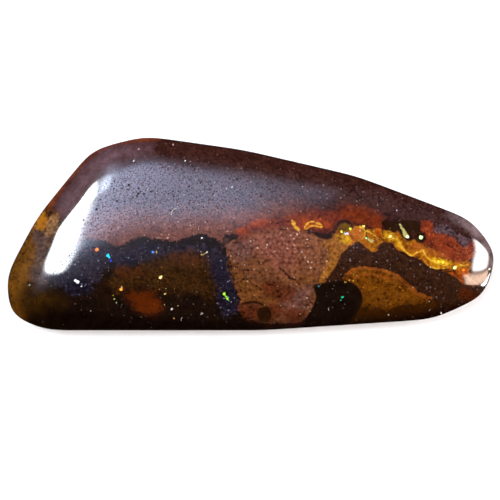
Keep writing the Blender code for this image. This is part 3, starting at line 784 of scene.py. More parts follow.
# %% Place the sparks of colour
# across, up, radius, and the colour as red, green and blue
SPARKS = (
    (-11.02, -1.12, 0.14, (1.0, 0.2, 0.02)),
    (-11.48, -1.15, 0.06, (0.88, 0.07, 0.07)),
    (-10.24, -1.53, 0.12, (0.02, 0.83, 1.0)),
    (-10.14, -1.67, 0.09, (0.02, 0.67, 1.0)),
    (-10.01, -1.91, 0.08, (0.02, 0.04, 0.88)),
    (-7.0, -1.3, 0.09, (0.09, 0.29, 1.0)),
    (-7.16, -1.3, 0.09, (0.01, 0.01, 0.04)),
    (-6.75, -1.27, 0.06, (1.0, 0.7, 0.2)),
    (-6.73, -1.37, 0.04, (1.0, 0.67, 0.17)),
    # painted glints: white sparks at the lower end of the left window's reflection
    (-12.56, -3.35, 0.11, (0.98, 0.98, 1.0)),
    (-12.4, -3.44, 0.12, (0.98, 0.98, 1.0)),
    (-12.15, -3.74, 0.06, (0.98, 0.98, 1.0)),
    (-6.47, -3.14, 0.11, (1.0, 0.72, 0.22)),
    (-6.37, -3.06, 0.07, (1.0, 0.78, 0.33)),
    (-3.49, -1.46, 0.08, (1.0, 0.69, 0.18)),
    (-3.28, -1.37, 0.05, (1.0, 0.75, 0.25)),
    (-3.11, -1.3, 0.06, (1.0, 0.86, 0.5)),
    (-9.29, -3.98, 0.12, (1.0, 0.36, 0.04)),
    (-9.25, -3.78, 0.06, (0.66, 0.35, 0.18)),
    (-6.57, -3.96, 0.05, (1.0, 0.43, 0.09)),
    (-6.13, -4.31, 0.07, (1.0, 0.87, 0.27)),
    (-6.08, -3.92, 0.04, (0.44, 0.77, 0.55)),
    (-9.86, -4.43, 0.05, (0.55, 0.66, 0.04)),
    (-9.76, -4.68, 0.05, (0.9, 1.0, 0.2)),
    (-9.63, -4.92, 0.05, (0.85, 1.0, 0.46)),
    (-9.22, -5.1, 0.04, (1.0, 0.9, 0.7)),
    (-1.89, -4.31, 0.11, (0.42, 1.0, 0.03)),
    (-1.76, -4.5, 0.08, (0.33, 1.0, 0.02)),
    (-1.66, -4.64, 0.09, (0.42, 1.0, 0.03)),
    (-1.55, -4.77, 0.06, (0.2, 1.0, 0.04)),
    (6.6, -4.54, 0.09, (0.0, 0.44, 0.22)),
    (6.48, -4.75, 0.05, (0.0, 0.35, 0.18)),
    (7.02, -4.03, 0.04, (0.88, 0.55, 0.55)),
    (4.9, -3.74, 0.06, (0.11, 0.55, 0.59)),
    (6.8, -3.46, 0.06, (1.0, 0.75, 0.03)),
    (7.38, -3.38, 0.06, (1.0, 0.62, 0.03)),
    (7.09, -3.31, 0.05, (1.0, 0.67, 0.08)),
    (7.16, 0.36, 0.09, (0.62, 1.0, 0.06)),
    (6.96, 0.03, 0.09, (0.83, 0.6, 1.0)),
    (6.78, -0.02, 0.06, (0.11, 0.88, 0.99)),
    (6.52, 0.17, 0.09, (1.0, 0.95, 0.05)),
    (6.7, 0.1, 0.05, (0.2, 1.0, 0.6)),
    (8.11, 0.56, 0.09, (0.94, 1.0, 0.18)),
    (8.3, -0.3, 0.07, (0.33, 1.0, 0.42)),
    (8.28, 0.14, 0.04, (0.11, 0.55, 0.11)),
    (10.02, -0.17, 0.12, (1.0, 0.62, 0.2)),
    (11.27, -0.2, 0.12, (1.0, 1.0, 0.53)),
    (12.24, -0.25, 0.15, (0.59, 1.0, 0.35)),
    (12.3, -0.29, 0.07, (0.89, 1.0, 0.74)),
    (13.82, -2.04, 0.09, (1.0, 0.8, 0.03)),
    (13.5, -1.97, 0.07, (1.0, 0.78, 0.03)),
    (14.68, -2.42, 0.12, (0.61, 1.0, 0.3)),
    (14.66, -2.73, 0.09, (0.02, 0.01, 0.0)),
    (12.92, -2.4, 0.05, (0.79, 1.0, 0.43)),
    (15.3, -2.59, 0.1, (1.0, 0.21, 0.01)),
    (17.21, -2.52, 0.07, (1.0, 1.0, 0.64)),
    (-11.48, -5.54, 0.04, (0.99, 0.84, 0.66)),
    (-15.88, -3.67, 0.06, (0.7, 0.66, 0.53)),
    # painted glints: the pale blue and white sparks here, in the cool sheen
    (-8.39, 5.26, 0.06, (0.88, 0.94, 1.0)),
    (-8.03, 6.12, 0.05, (0.66, 0.44, 0.44)),
    (-4.72, 5.26, 0.06, (0.88, 0.94, 1.0)),
    (-1.33, 3.38, 0.06, (0.92, 0.92, 1.0)),
    (-5.58, 6.44, 0.05, (0.88, 0.55, 0.55)),
    (-5.94, -0.29, 0.06, (1.0, 0.75, 0.62)),
    (-3.49, -0.29, 0.07, (1.0, 0.94, 0.88)),
    (-5.65, -5.4, 0.07, (1.0, 0.94, 0.81)),
    (-3.49, -5.72, 0.07, (1.0, 0.93, 0.87)),
    (-6.19, -5.11, 0.05, (0.99, 0.88, 0.33)),
    (-5.22, -5.18, 0.04, (0.77, 0.62, 0.26)),
    (-5.51, -6.05, 0.05, (0.55, 0.33, 0.07)),
    (9.76, -4.75, 0.04, (1.0, 0.8, 0.6)),
    (9.94, -5.83, 0.05, (1.0, 0.8, 0.7)),
    (13.72, -5.69, 0.06, (1.0, 0.75, 0.67)),
    (12.85, -4.82, 0.04, (1.0, 0.8, 0.8)),
    (9.04, -2.02, 0.04, (1.0, 0.9, 0.9)),
    (7.16, -1.84, 0.06, (0.88, 0.73, 0.79)),
    (10.51, 1.69, 0.04, (1.0, 0.67, 0.83)),
)
depths = np.array(
    [radius - np.linalg.norm(map_places - (x, y), axis=1) for x, y, radius, _ in SPARKS]
)
store("spark", depths.max(axis=0))
hues = np.array([(*hue, 1.0) for *_, hue in SPARKS], np.float32)
layer = stone_mesh.attributes.new("spark_hue", "FLOAT_COLOR", "POINT")
layer.data.foreach_set("color", hues[depths.argmax(axis=0)].ravel())
print("sparks:", len(SPARKS))

# %% [markdown]
# ## Shader helpers
#
# A node tree in a script is easier to read when one call makes a node, sets its
# sockets and joins them. A shader group then holds what every zone needs.

# %% Make nodes and groups
def feed(tree, socket, value):
    """Join a socket to another one, or give it a plain value."""
    if isinstance(value, bpy.types.NodeSocket):
        tree.links.new(value, socket)
    else:
        socket.default_value = value


def add(tree, kind, sockets=None, **settings):
    """One node, with its settings made and its sockets fed."""
    made = tree.nodes.new(kind)
    for key, value in settings.items():
        setattr(made, key, value)
    for key, value in (sockets or {}).items():
        feed(tree, made.inputs[key], value)
    return made


def sums(tree, operation, *values):
    """One Math node, and its result."""
    sockets = dict(enumerate(values))
    return add(tree, "ShaderNodeMath", sockets, operation=operation).outputs[0]


def step_up(tree, value, low, high):
    """A smooth step from 0 at the low value to 1 at the high one."""
    sockets = {"Value": value, "From Min": low, "From Max": high}
    made = add(tree, "ShaderNodeMapRange", sockets, interpolation_type="SMOOTHSTEP")
    return made.outputs["Result"]


def blend_colour(tree, share, under, over):
    """One colour laid over another, and the result."""
    sockets = {0: share, 6: under, 7: over}
    return add(tree, "ShaderNodeMix", sockets, data_type="RGBA").outputs[2]


def new_group(name, takes, gives):
    """A shader group with named sockets, and its two end nodes."""
    group = bpy.data.node_groups.new(name, "ShaderNodeTree")
    for label, value in takes.items():
        kind = "NodeSocketColor" if isinstance(value, tuple) else "NodeSocketFloat"
        socket = group.interface.new_socket(label, in_out="INPUT", socket_type=kind)
        socket.default_value = value
    for label, kind in gives.items():
        group.interface.new_socket(label, in_out="OUTPUT", socket_type=kind)
    start = group.nodes.new("NodeGroupInput")
    end = group.nodes.new("NodeGroupOutput")
    return group, start.outputs, end.inputs


def place_in_mm(tree, shift=(0.0, 0.0, 0.0)):
    """Where a point of the surface is, in millimetres."""
    place = add(tree, "ShaderNodeTexCoord").outputs["Object"]
    sockets = {"Vector": place, "Location": shift, "Scale": (1.0 / MM,) * 3}
    return add(tree, "ShaderNodeMapping", sockets).outputs[0]


def noise_at(tree, place, scale, detail, roughness=0.6):
    """Noise from 0 to 1, with 0.5 as its middle value."""
    sockets = {"Vector": place, "Scale": scale, "Detail": detail, "Roughness": roughness}
    return add(tree, "ShaderNodeTexNoise", sockets).outputs["Fac"]


def centred(tree, noise):
    """The same noise about zero and twice as strong, mostly from -1 to 1."""
    return sums(tree, "MULTIPLY_ADD", noise, 4.0, -2.0)


def cut_to_share(tree, value):
    """A value held between 0 and 1."""
    return sums(tree, "MINIMUM", sums(tree, "MAXIMUM", value, 0.0), 1.0)


# %% Stone noise: the grains that every zone shares
NOISE_DETAIL = {"Cloud": 2.0, "Wander": 3.0, "Nibble": 3.0, "Grain": 2.0}
stone_noise, takes, gives = new_group(
    "stone_noise",
    {
        "Cloud scale": 0.4,
        "Wander scale": 1.2,
        "Nibble scale": 4.5,
        "Grain scale": 9.0,
        "Fleck scale": 4.2,
        "Fleck size": 0.36,
    },
    {name: "NodeSocketFloat" for name in (*NOISE_DETAIL, "Fleck", "Lot")},
)
place = place_in_mm(stone_noise)
for name, detail in NOISE_DETAIL.items():
    noise = noise_at(stone_noise, place, takes[f"{name} scale"], detail)
    fine = centred(stone_noise, noise)
    feed(stone_noise, gives[name], fine)
sockets = {"Vector": place, "Scale": takes["Fleck scale"]}
cells = add(stone_noise, "ShaderNodeTexVoronoi", sockets)
lots = add(stone_noise, "ShaderNodeSeparateColor", {0: cells.outputs["Color"]}).outputs
ragged = sums(stone_noise, "MULTIPLY_ADD", fine, 0.09, cells.outputs["Distance"])
size = sums(stone_noise, "ADD", lots[1], 0.3)
size = sums(stone_noise, "MULTIPLY", takes["Fleck size"], size)
fleck = step_up(stone_noise, ragged, size, sums(stone_noise, "MULTIPLY", size, 0.3))
feed(stone_noise, gives["Fleck"], fleck)
feed(stone_noise, gives["Lot"], lots[0])

# %% Lay a zone: cut its ragged edge, mottle it, put it over what lies under
lay_zone, takes, gives = new_group(
    "lay_zone",
    {
        "Under": (0.0, 0.0, 0.0, 1.0),
        "Under grit": 0.0,
        "Dark": (0.0, 0.0, 0.0, 1.0),
        "Light": (1.0, 1.0, 1.0, 1.0),
        "Fleck colour": (1.0, 1.0, 1.0, 1.0),
        "Fleck share": 0.1,
        "Grit": 0.0,
        "Inside": 0.0,
        "Softness": 0.1,
        "Wandering": 0.1,
        "Nibbling": 0.05,
        "Fineness": 0.5,
        "Opacity": 1.0,
        "Wander": 0.0,
        "Nibble": 0.0,
        "Fleck": 0.0,
        "Lot": 0.5,
    },
    {"Colour": "NodeSocketColor", "Grit": "NodeSocketFloat", "Mask": "NodeSocketFloat"},
)
edge = sums(lay_zone, "MULTIPLY_ADD", takes["Wander"], takes["Wandering"], takes["Inside"])
edge = sums(lay_zone, "MULTIPLY_ADD", takes["Nibble"], takes["Nibbling"], edge)
outer = sums(lay_zone, "MULTIPLY", takes["Softness"], -1.0)
mask = step_up(lay_zone, edge, outer, takes["Softness"])
mask = sums(lay_zone, "MULTIPLY", mask, takes["Opacity"])
mottle = sums(lay_zone, "SUBTRACT", takes["Nibble"], takes["Wander"])
mottle = sums(lay_zone, "MULTIPLY_ADD", mottle, takes["Fineness"], takes["Wander"])
mottle = sums(lay_zone, "MULTIPLY_ADD", mottle, 0.8, 0.5)
mottle = cut_to_share(lay_zone, mottle)
own = blend_colour(lay_zone, mottle, takes["Dark"], takes["Light"])
chosen = sums(lay_zone, "LESS_THAN", takes["Lot"], takes["Fleck share"])
flecked = sums(lay_zone, "MULTIPLY", chosen, takes["Fleck"])
own = blend_colour(lay_zone, flecked, own, takes["Fleck colour"])
feed(lay_zone, gives["Colour"], blend_colour(lay_zone, mask, takes["Under"], own))
change = sums(lay_zone, "SUBTRACT", takes["Grit"], takes["Under grit"])
grit = sums(lay_zone, "MULTIPLY_ADD", change, mask, takes["Under grit"])
feed(lay_zone, gives["Grit"], grit)
feed(lay_zone, gives["Mask"], mask)

# %% Specks: small round spots scattered at random, but the same each time
specks, takes, gives = new_group(
    "specks",
    {"Scale": 5.0, "Size": 0.2, "Share": 0.5, "Ragged": 0.0},
    {"Mask": "NodeSocketFloat"},
)
sockets = {"Vector": place_in_mm(specks), "Scale": takes["Scale"]}
cells = add(specks, "ShaderNodeTexVoronoi", sockets)
lots = add(specks, "ShaderNodeSeparateColor", {0: cells.outputs["Color"]}).outputs
size = sums(specks, "MULTIPLY_ADD", lots[1], 0.9, 0.5)
size = sums(specks, "MULTIPLY", takes["Size"], size)
ragged = sums(specks, "MULTIPLY_ADD", takes["Ragged"], 0.08, cells.outputs["Distance"])
near = step_up(specks, ragged, size, sums(specks, "MULTIPLY", size, 0.4))
chosen = sums(specks, "LESS_THAN", lots[0], takes["Share"])
feed(specks, gives["Mask"], sums(specks, "MULTIPLY", near, chosen))

# %% Threads: thin wandering lines, where a broad noise passes through its middle value
threads, takes, gives = new_group(
    "threads",
    {"Scale": 1.0, "Width": 0.05, "Shift": 0.0},
    {"Mask": "NodeSocketFloat"},
)
place = place_in_mm(threads, takes["Shift"])
noise = noise_at(threads, place, takes["Scale"], 3.0)
from_middle = sums(threads, "ABSOLUTE", sums(threads, "SUBTRACT", noise, 0.5))
feed(threads, gives["Mask"], step_up(threads, from_middle, takes["Width"], 0.0))

# %% Ground stone: the fine straight marks of the lap, for the back
LAP_TURN = 0.6  # radians
LAP_STRETCH = 20.0  # how much longer than wide the marks are
ground_stone, takes, gives = new_group(
    "ground_stone",
    {
        "Dark": (0.0, 0.0, 0.0, 1.0),
        "Light": (1.0, 1.0, 1.0, 1.0),
        "Mark scale": 5.0,
        "Mark share": 0.4,
        "Cloud": 0.0,
    },
    {"Colour": "NodeSocketColor", "Height": "NodeSocketFloat"},
)
sockets = {
    "Vector": place_in_mm(ground_stone),
    "Rotation": (0.0, 0.0, LAP_TURN),
    "Scale": (LAP_STRETCH, 1.0, 1.0),
}
turned = add(ground_stone, "ShaderNodeMapping", sockets, vector_type="TEXTURE").outputs[0]
marks = centred(ground_stone, noise_at(ground_stone, turned, takes["Mark scale"], 3.0, 0.7))
tone = sums(ground_stone, "MULTIPLY_ADD", takes["Cloud"], 0.5, 0.5)
tone = sums(ground_stone, "MULTIPLY_ADD", marks, takes["Mark share"], tone)
tone = cut_to_share(ground_stone, tone)
colour = blend_colour(ground_stone, tone, takes["Dark"], takes["Light"])
feed(ground_stone, gives["Colour"], colour)
feed(ground_stone, gives["Height"], marks)
print("groups:", [group.name for group in bpy.data.node_groups])

# %% [markdown]
# ## The stone's material
#
# The zones are laid one over another, like washes of paint. Each row gives a zone's
# two colours and the colour of its flecks, how gritty it is, how soft and ragged its
# edge is, and whether its mottling is broad or fine. Glassy opal has no grit, and
# sandy ironstone the most.

# %% Colours, as they look under the studio light
# how many times over the lights expose a white card, in red, green and blue
LIGHT_LEVEL = np.array([2.14, 2.22, 2.46])


def pigment(red, green, blue):
    """A colour of 0 to 255 as seen under the lights, as the pigment's own colour."""
    seen = np.array([red, green, blue]) / 255.0
    linear = np.where(seen > 0.04045, ((seen + 0.055) / 1.055) ** 2.4, seen / 12.92)
    return (*(linear / LIGHT_LEVEL), 1.0)


# first line: zone, dark, light, flecks, share of flecks
# second line: grit, softness, wandering, nibbling, fineness, opacity
COATS = (
    ("rim", (40, 16, 10), (78, 40, 32), (100, 66, 62), 0.05,
     0.3, 0.1, 0.0, 0.0, 0.5, 1.0),
    ("plum_shade", (42, 22, 19), (88, 55, 51), (126, 100, 104), 0.16,
     1.0, 0.6, 0.3, 0.1, 0.7, 1.0),
    ("pink_belt", (86, 48, 40), (144, 88, 72), (176, 128, 114), 0.12,
     0.9, 1.1, 0.2, 0.1, 0.6, 1.0),
    # painted reflection: the hazy mauve shine of the lamps on the left shoulder, laid in as
    # colour
    ("painted_shoulder_reflection", (108, 74, 78), (146, 114, 128), (150, 126, 138), 0.0,
     0.3, 0.85, 0.06, 0.04, 0.4, 0.85),
    # painted reflection: the faint lilac shine of a low lamp along the right rim, laid in as
    # colour
    ("painted_rim_reflection", (106, 82, 86), (184, 158, 166), (190, 176, 184), 0.08,
     0.1, 0.45, 0.15, 0.05, 0.4, 0.65),
    # painted glow: an orange line along the upper left rim, light shining through the thin
    # edge, laid in as colour
    ("painted_edge_glow", (90, 32, 8), (160, 74, 24), (150, 90, 60), 0.0,
     0.1, 0.2, 0.02, 0.03, 0.3, 0.85),
    ("amber_end", (34, 16, 1), (142, 86, 18), (160, 116, 54), 0.08,
     0.2, 0.4, 0.3, 0.12, 0.5, 1.0),
    ("grey_smoke", (40, 22, 14), (116, 92, 86), (150, 136, 130), 0.1,
     0.2, 0.22, 0.2, 0.15, 0.6, 0.8),
    ("honey", (128, 66, 6), (226, 146, 36), (236, 180, 90), 0.08,
     0.2, 0.14, 0.1, 0.08, 0.5, 0.9),
    ("amber_patch", (70, 36, 4), (150, 96, 24), (170, 120, 50), 0.06,
     0.1, 0.22, 0.15, 0.1, 0.4, 0.75),
    ("tan_grit", (80, 40, 10), (206, 154, 100), (236, 200, 160), 0.14,
     0.6, 0.16, 0.15, 0.12, 0.95, 0.75),
    ("left_dark", (10, 3, 0), (44, 25, 14), (88, 74, 70), 0.12,
     0.5, 0.06, 0.05, 0.18, 0.7, 1.0),
    # the pale blue flecks of these two zones are painted glints: the cool sheen caught on
    # single grains
    ("blue_band", (16, 11, 16), (62, 50, 66), (122, 118, 140), 0.22,
     1.0, 0.2, 0.25, 0.25, 0.75, 1.0),
    ("ink", (7, 4, 10), (42, 37, 58), (130, 134, 170), 0.4,
     0.9, 0.25, 0.2, 0.15, 0.8, 0.75),
    ("umber", (26, 14, 2), (62, 38, 6), (80, 60, 30), 0.0,
     0.1, 0.5, 0.15, 0.06, 0.3, 0.9),
    ("olive_pool", (27, 13, 3), (80, 48, 16), (120, 84, 36), 0.16,
     0.4, 0.35, 0.25, 0.15, 0.65, 1.0),
    ("rust_patch", (50, 19, 5), (104, 52, 18), (130, 80, 36), 0.08,
     0.3, 0.3, 0.2, 0.1, 0.6, 0.55),
    ("ember", (66, 24, 2), (112, 46, 6), (130, 70, 20), 0.03,
     0.1, 0.4, 0.15, 0.06, 0.4, 1.0),
    ("sand", (38, 13, 3), (164, 100, 62), (220, 184, 158), 0.22,
     0.9, 0.05, 0.06, 0.14, 0.75, 1.0),
    ("lilac_stone", (58, 24, 18), (152, 104, 94), (200, 172, 166), 0.22,
     0.9, 0.4, 0.3, 0.15, 0.8, 0.8),
    ("rose_stone", (78, 28, 14), (178, 108, 86), (224, 186, 164), 0.16,
     1.0, 0.6, 0.3, 0.15, 0.85, 0.9),
    ("salt", (74, 30, 12), (172, 108, 70), (246, 226, 204), 0.45,
     1.0, 0.5, 0.3, 0.15, 0.85, 0.8),
    ("tan_stone", (44, 12, 1), (164, 100, 46), (216, 156, 84), 0.2,
     0.7, 0.25, 0.25, 0.15, 0.7, 0.85),
    ("rust_stone", (18, 5, 0), (130, 58, 26), (176, 112, 72), 0.12,
     0.5, 0.2, 0.2, 0.12, 0.6, 0.85),
    ("scarlet", (76, 20, 4), (150, 62, 24), (180, 96, 50), 0.08,
     0.3, 0.5, 0.2, 0.08, 0.6, 1.0),
    ("fire_red", (92, 20, 2), (196, 82, 20), (226, 130, 40), 0.08,
     0.1, 0.25, 0.15, 0.08, 0.5, 0.75),
    ("gold", (100, 42, 2), (212, 126, 20), (246, 190, 70), 0.08,
     0.1, 0.09, 0.08, 0.1, 0.45, 1.0),
    ("gold_sand", (82, 36, 5), (200, 130, 54), (240, 190, 110), 0.2,
     0.6, 0.14, 0.16, 0.12, 0.75, 0.9),
    ("salmon", (130, 50, 10), (210, 118, 46), (236, 160, 100), 0.08,
     0.2, 0.2, 0.12, 0.1, 0.5, 0.75),
    ("crimson", (78, 19, 5), (170, 70, 36), (210, 110, 64), 0.1,
     0.4, 0.1, 0.1, 0.1, 0.6, 0.95),
    ("bright_gold", (120, 52, 2), (255, 202, 36), (255, 236, 140), 0.1,
     0.0, 0.12, 0.12, 0.1, 0.5, 0.9),
    ("copper", (96, 28, 1), (228, 112, 14), (236, 140, 60), 0.06,
     0.1, 0.08, 0.08, 0.08, 0.5, 0.95),
    ("plum_lump", (22, 14, 24), (124, 98, 108), (180, 160, 172), 0.24,
     0.9, 0.2, 0.15, 0.12, 0.85, 0.85),
    ("brown_nose", (16, 1, 0), (68, 33, 8), (130, 100, 80), 0.1,
     0.3, 0.4, 0.2, 0.12, 0.6, 1.0),
    # brown stone under the crescent, painted darker towards the bottom as shade
    ("brown_with_painted_shade", (38, 16, 0), (82, 42, 3), (110, 66, 20), 0.08,
     0.1, 0.3, 0.1, 0.08, 0.5, 1.0),
    ("crescent", (42, 14, 0), (146, 82, 8), (196, 124, 40), 0.16,
     0.2, 0.3, 0.15, 0.12, 0.75, 1.0),
    ("arch", (26, 8, 1), (74, 41, 20), (112, 96, 100), 0.3,
     0.7, 0.05, 0.05, 0.14, 0.75, 1.0),
    ("nose_glow", (34, 6, 0), (100, 40, 4), (150, 80, 20), 0.04,
     0.0, 0.3, 0.1, 0.06, 0.4, 0.8),
    ("rim_line", (80, 26, 0), (190, 104, 34), (216, 150, 80), 0.14,
     0.1, 0.06, 0.04, 0.05, 0.6, 0.8),
    ("cave", (11, 2, 0), (38, 22, 13), (84, 78, 66), 0.1,
     0.4, 0.06, 0.08, 0.12, 0.6, 1.0),
    ("low_shade", (4, 0, 0), (28, 12, 4), (60, 40, 30), 0.04,
     0.2, 0.55, 0.12, 0.05, 0.5, 0.9),
    ("black_lump", (8, 1, 0), (54, 28, 6), (110, 66, 20), 0.08,
     0.2, 0.08, 0.1, 0.1, 0.6, 0.95),
    ("bronze", (60, 34, 4), (140, 100, 20), (170, 130, 30), 0.1,
     0.0, 0.08, 0.03, 0.05, 0.5, 0.95),
    ("pale_opal", (120, 96, 24), (232, 226, 140), (250, 248, 200), 0.2,
     0.0, 0.05, 0.03, 0.05, 0.6, 0.95),
    ("crack", (12, 4, 1), (30, 10, 3), (70, 40, 20), 0.0,
     0.2, 0.03, 0.06, 0.09, 0.6, 0.9),
    ("pale_vein", (150, 70, 40), (200, 130, 90), (230, 180, 140), 0.0,
     0.1, 0.06, 0.03, 0.04, 0.5, 0.7),
    ("fire_vein", (236, 110, 4), (255, 226, 70), (255, 240, 140), 0.1,
     0.0, 0.04, 0.02, 0.03, 0.6, 1.0),
)
# threads in a zone: scale, width, shift, colour, strength
THREADS = {
    "gold": ((0.8, 0.016, 1.0, (255, 196, 60), 0.6), (0.9, 0.016, 5.0, (70, 26, 2), 0.8)),
    "gold_sand": ((1.3, 0.02, 9.0, (80, 36, 4), 0.7),),
    "crimson": ((0.9, 0.014, 4.0, (210, 116, 56), 0.4), (1.1, 0.014, 8.0, (60, 12, 4), 0.6)),
    "crescent": ((1.6, 0.03, 6.0, (176, 116, 36), 0.4), (1.3, 0.03, 3.0, (40, 14, 1), 0.5)),
}
COAT_SOCKETS = ("Grit", "Softness", "Wandering", "Nibbling", "Fineness", "Opacity")

# %% Lay the zones
material = bpy.data.materials.new("opal_in_ironstone")
material.use_nodes = True
tree = material.node_tree
shader = tree.nodes["Principled BSDF"]
noises = add(tree, "ShaderNodeGroup", node_tree=stone_noise).outputs


def stored(name, output="Fac"):
    """A number or a colour that the mesh keeps for each vertex."""
    return add(tree, "ShaderNodeAttribute", attribute_name=name).outputs[output]


colour = pigment(60, 32, 26)
grit = 0.3
masks = {}
for name, dark, light, flecks, share, *finish in COATS:
    sockets = {
        "Under": colour,
        "Under grit": grit,
        "Dark": pigment(*dark),
        "Light": pigment(*light),
        "Fleck colour": pigment(*flecks),
        "Fleck share": share,
        "Inside": stored(name),
        **dict(zip(COAT_SOCKETS, finish)),
        **{label: noises[label] for label in ("Wander", "Nibble", "Fleck", "Lot")},
    }
    coat = add(tree, "ShaderNodeGroup", node_tree=lay_zone)
    for label, value in sockets.items():
        feed(tree, coat.inputs[label], value)
    colour = coat.outputs["Colour"]
    grit = coat.outputs["Grit"]
    masks[name] = coat.outputs["Mask"]
    if name in THREADS:
        for scale, width, shift, tint, strength in THREADS[name]:
            sockets = {"Scale": scale, "Width": width, "Shift": shift}
            line = add(tree, "ShaderNodeGroup", sockets, node_tree=threads).outputs["Mask"]
            line = sums(tree, "MULTIPLY", sums(tree, "MULTIPLY", line, masks[name]), strength)
            colour = blend_colour(tree, line, colour, pigment(*tint))
print("coats:", len(COATS))

# %% Set the sparks, let dust and pits dull the polish, and paint shade into the pits
SPARK_RAGGED = 0.04  # millimetres
SPARK_EDGE = (-0.02, 0.04)
PITS = ((1.7, 0.16, 0.3), (2.9, 0.22, 0.4), (5.2, 0.3, 0.3))  # scale, size, share
PIT_CROWDING = 0.3
PIT_SHADE_COLOUR = (22, 12, 14)
PIT_SHADE_STRENGTH = 0.55
PIT_DEPTH = 1.5  # next to the grain
DUST = {"Scale": 4.6, "Size": 0.2, "Share": 0.2}
DUST_COLOUR = (186, 168, 170)
DUST_STRENGTH = 0.8
GRAIN_STRENGTH = 0.9
DULL_DARKNESS = 0.5
spark = sums(tree, "MULTIPLY_ADD", noises["Grain"], SPARK_RAGGED, stored("spark"))
spark = step_up(tree, spark, *SPARK_EDGE)
colour = blend_colour(tree, spark, colour, stored("spark_hue", "Color"))

pits = 0.0
for scale, size, share in PITS:
    crowd = sums(tree, "MULTIPLY_ADD", noises["Cloud"], PIT_CROWDING, share)
    sockets = {"Scale": scale, "Size": size, "Share": crowd, "Ragged": noises["Grain"]}
    found = add(tree, "ShaderNodeGroup", sockets, node_tree=specks).outputs["Mask"]
    pits = sums(tree, "MAXIMUM", found, pits)
pits = sums(tree, "MULTIPLY", pits, sums(tree, "MULTIPLY", grit, stored("face")))
# painted shade: the pits are darkened in colour, as shade and the lost shine darken real pits
dark = sums(tree, "MULTIPLY", pits, PIT_SHADE_STRENGTH)
colour = blend_colour(tree, dark, colour, pigment(*PIT_SHADE_COLOUR))
sockets = {**DUST, "Ragged": noises["Grain"]}
dust = add(tree, "ShaderNodeGroup", sockets, node_tree=specks).outputs["Mask"]
dust = sums(tree, "MULTIPLY", dust, sums(tree, "MULTIPLY", grit, DUST_STRENGTH))
colour = blend_colour(tree, dust, colour, pigment(*DUST_COLOUR))
grain = sums(tree, "MULTIPLY_ADD", noises["Grain"], GRAIN_STRENGTH, 0.2)
dull = sums(tree, "MULTIPLY", sums(tree, "MAXIMUM", grain, 0.0), grit)
dull = sums(tree, "MINIMUM", dull, 1.0)
polish = sums(tree, "SUBTRACT", sums(tree, "SUBTRACT", 1.0, dull), pits)
polish = sums(tree, "MAXIMUM", polish, 0.0)
lit = sums(tree, "MULTIPLY", noises["Grain"], -GRAIN_STRENGTH)
lit = sums(tree, "MAXIMUM", lit, 0.0)
lit = sums(tree, "MULTIPLY", lit, sums(tree, "MULTIPLY_ADD", grit, 0.8, 0.2))
shine = sums(tree, "MULTIPLY_ADD", dull, -DULL_DARKNESS, sums(tree, "ADD", lit, 1.0))
sockets = {0: colour, "Scale": shine}
colour = add(tree, "ShaderNodeVectorMath", sockets, operation="SCALE").outputs[0]
height = sums(tree, "MULTIPLY", noises["Grain"], grit)
height = sums(tree, "MULTIPLY_ADD", pits, -PIT_DEPTH, height)

# %% [markdown]
# ## The back
#
# Only the face is polished. The back and the lower bevel could share its finish, but
# a cutter leaves them as the lap ground them: matte, with fine straight marks.

# %% Leave the back and the lower bevel as the lap ground them
GROUND_RAGGED = 0.05
GROUND_EDGE = (0.15, 0.55)  # shares of the way down the bevel
GROUND_ROUGHNESS = 0.62
ground = sums(tree, "MULTIPLY_ADD", noises["Nibble"], GROUND_RAGGED, stored("ground"))
ground = step_up(tree, ground, *GROUND_EDGE)
sockets = {
    "Dark": pigment(62, 34, 24),
    "Light": pigment(116, 74, 54),
    "Cloud": noises["Wander"],
}
back = add(tree, "ShaderNodeGroup", sockets, node_tree=ground_stone).outputs
colour = blend_colour(tree, ground, colour, back["Colour"])
kept = sums(tree, "SUBTRACT", 1.0, ground)
polish = sums(tree, "MULTIPLY", polish, kept)
height = sums(tree, "MULTIPLY", height, kept)
height = sums(tree, "MULTIPLY_ADD", back["Height"], ground, height)
rough = sums(tree, "MULTIPLY_ADD", grit, 0.2, 0.3)
rough = sums(tree, "MAXIMUM", rough, sums(tree, "MULTIPLY", ground, GROUND_ROUGHNESS))

# %% Join it all to the surface
GRAIN_RELIEF = 0.003  # millimetres
relief = {"Strength": 1.0, "Distance": GRAIN_RELIEF * MM, "Height": height}
feed(tree, shader.inputs["Normal"], add(tree, "ShaderNodeBump", relief).outputs["Normal"])
feed(tree, shader.inputs["Base Color"], colour)
feed(tree, shader.inputs["Roughness"], rough)
feed(tree, shader.inputs["Coat Weight"], polish)
shader.inputs["Specular IOR Level"].default_value = 0.02
shader.inputs["Coat Roughness"].default_value = 0.05
shader.inputs["Coat IOR"].default_value = 1.5
stone_mesh.materials.append(material)

# %% Put the stone in the frame
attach(stone, "root")
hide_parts(STONE_NODE)

# %% [markdown]
# ## Lint on the polish
#
# A few short fibres of lint cling to the polished face. Each one could be modelled
# on its own, but they are one thing repeated: a bent hair. So Geometry Nodes sets a
# hair square on the stone at each drawn place, and a fixed seed varies their bend.

# %% Where each hair lies: across, up, length in millimetres and turn in degrees
HAIRS = (
    (-5.51, 1.58, 0.62, 52.0),
    (-3.7, 0.43, 0.3, 80.0),
    (-5.65, -5.4, 0.22, 100.0),
    (-4.93, -6.12, 0.3, 75.0),
    (-3.49, -5.76, 0.26, 30.0),
    (-3.49, -0.29, 0.2, 140.0),
    (-5.94, -0.29, 0.16, 20.0),
    (5.64, -5.4, 0.24, 100.0),
    (12.9, -5.5, 0.2, 60.0),
)
PROBE = 0.01  # millimetres, the step that finds the slope


def face_places(places):
    """Points of the polished face, in metres, over places of the plan."""
    levels = GIRDLE_HEIGHT + dome_height(places, rim_distance(places))
    return np.column_stack([places, levels]) * MM


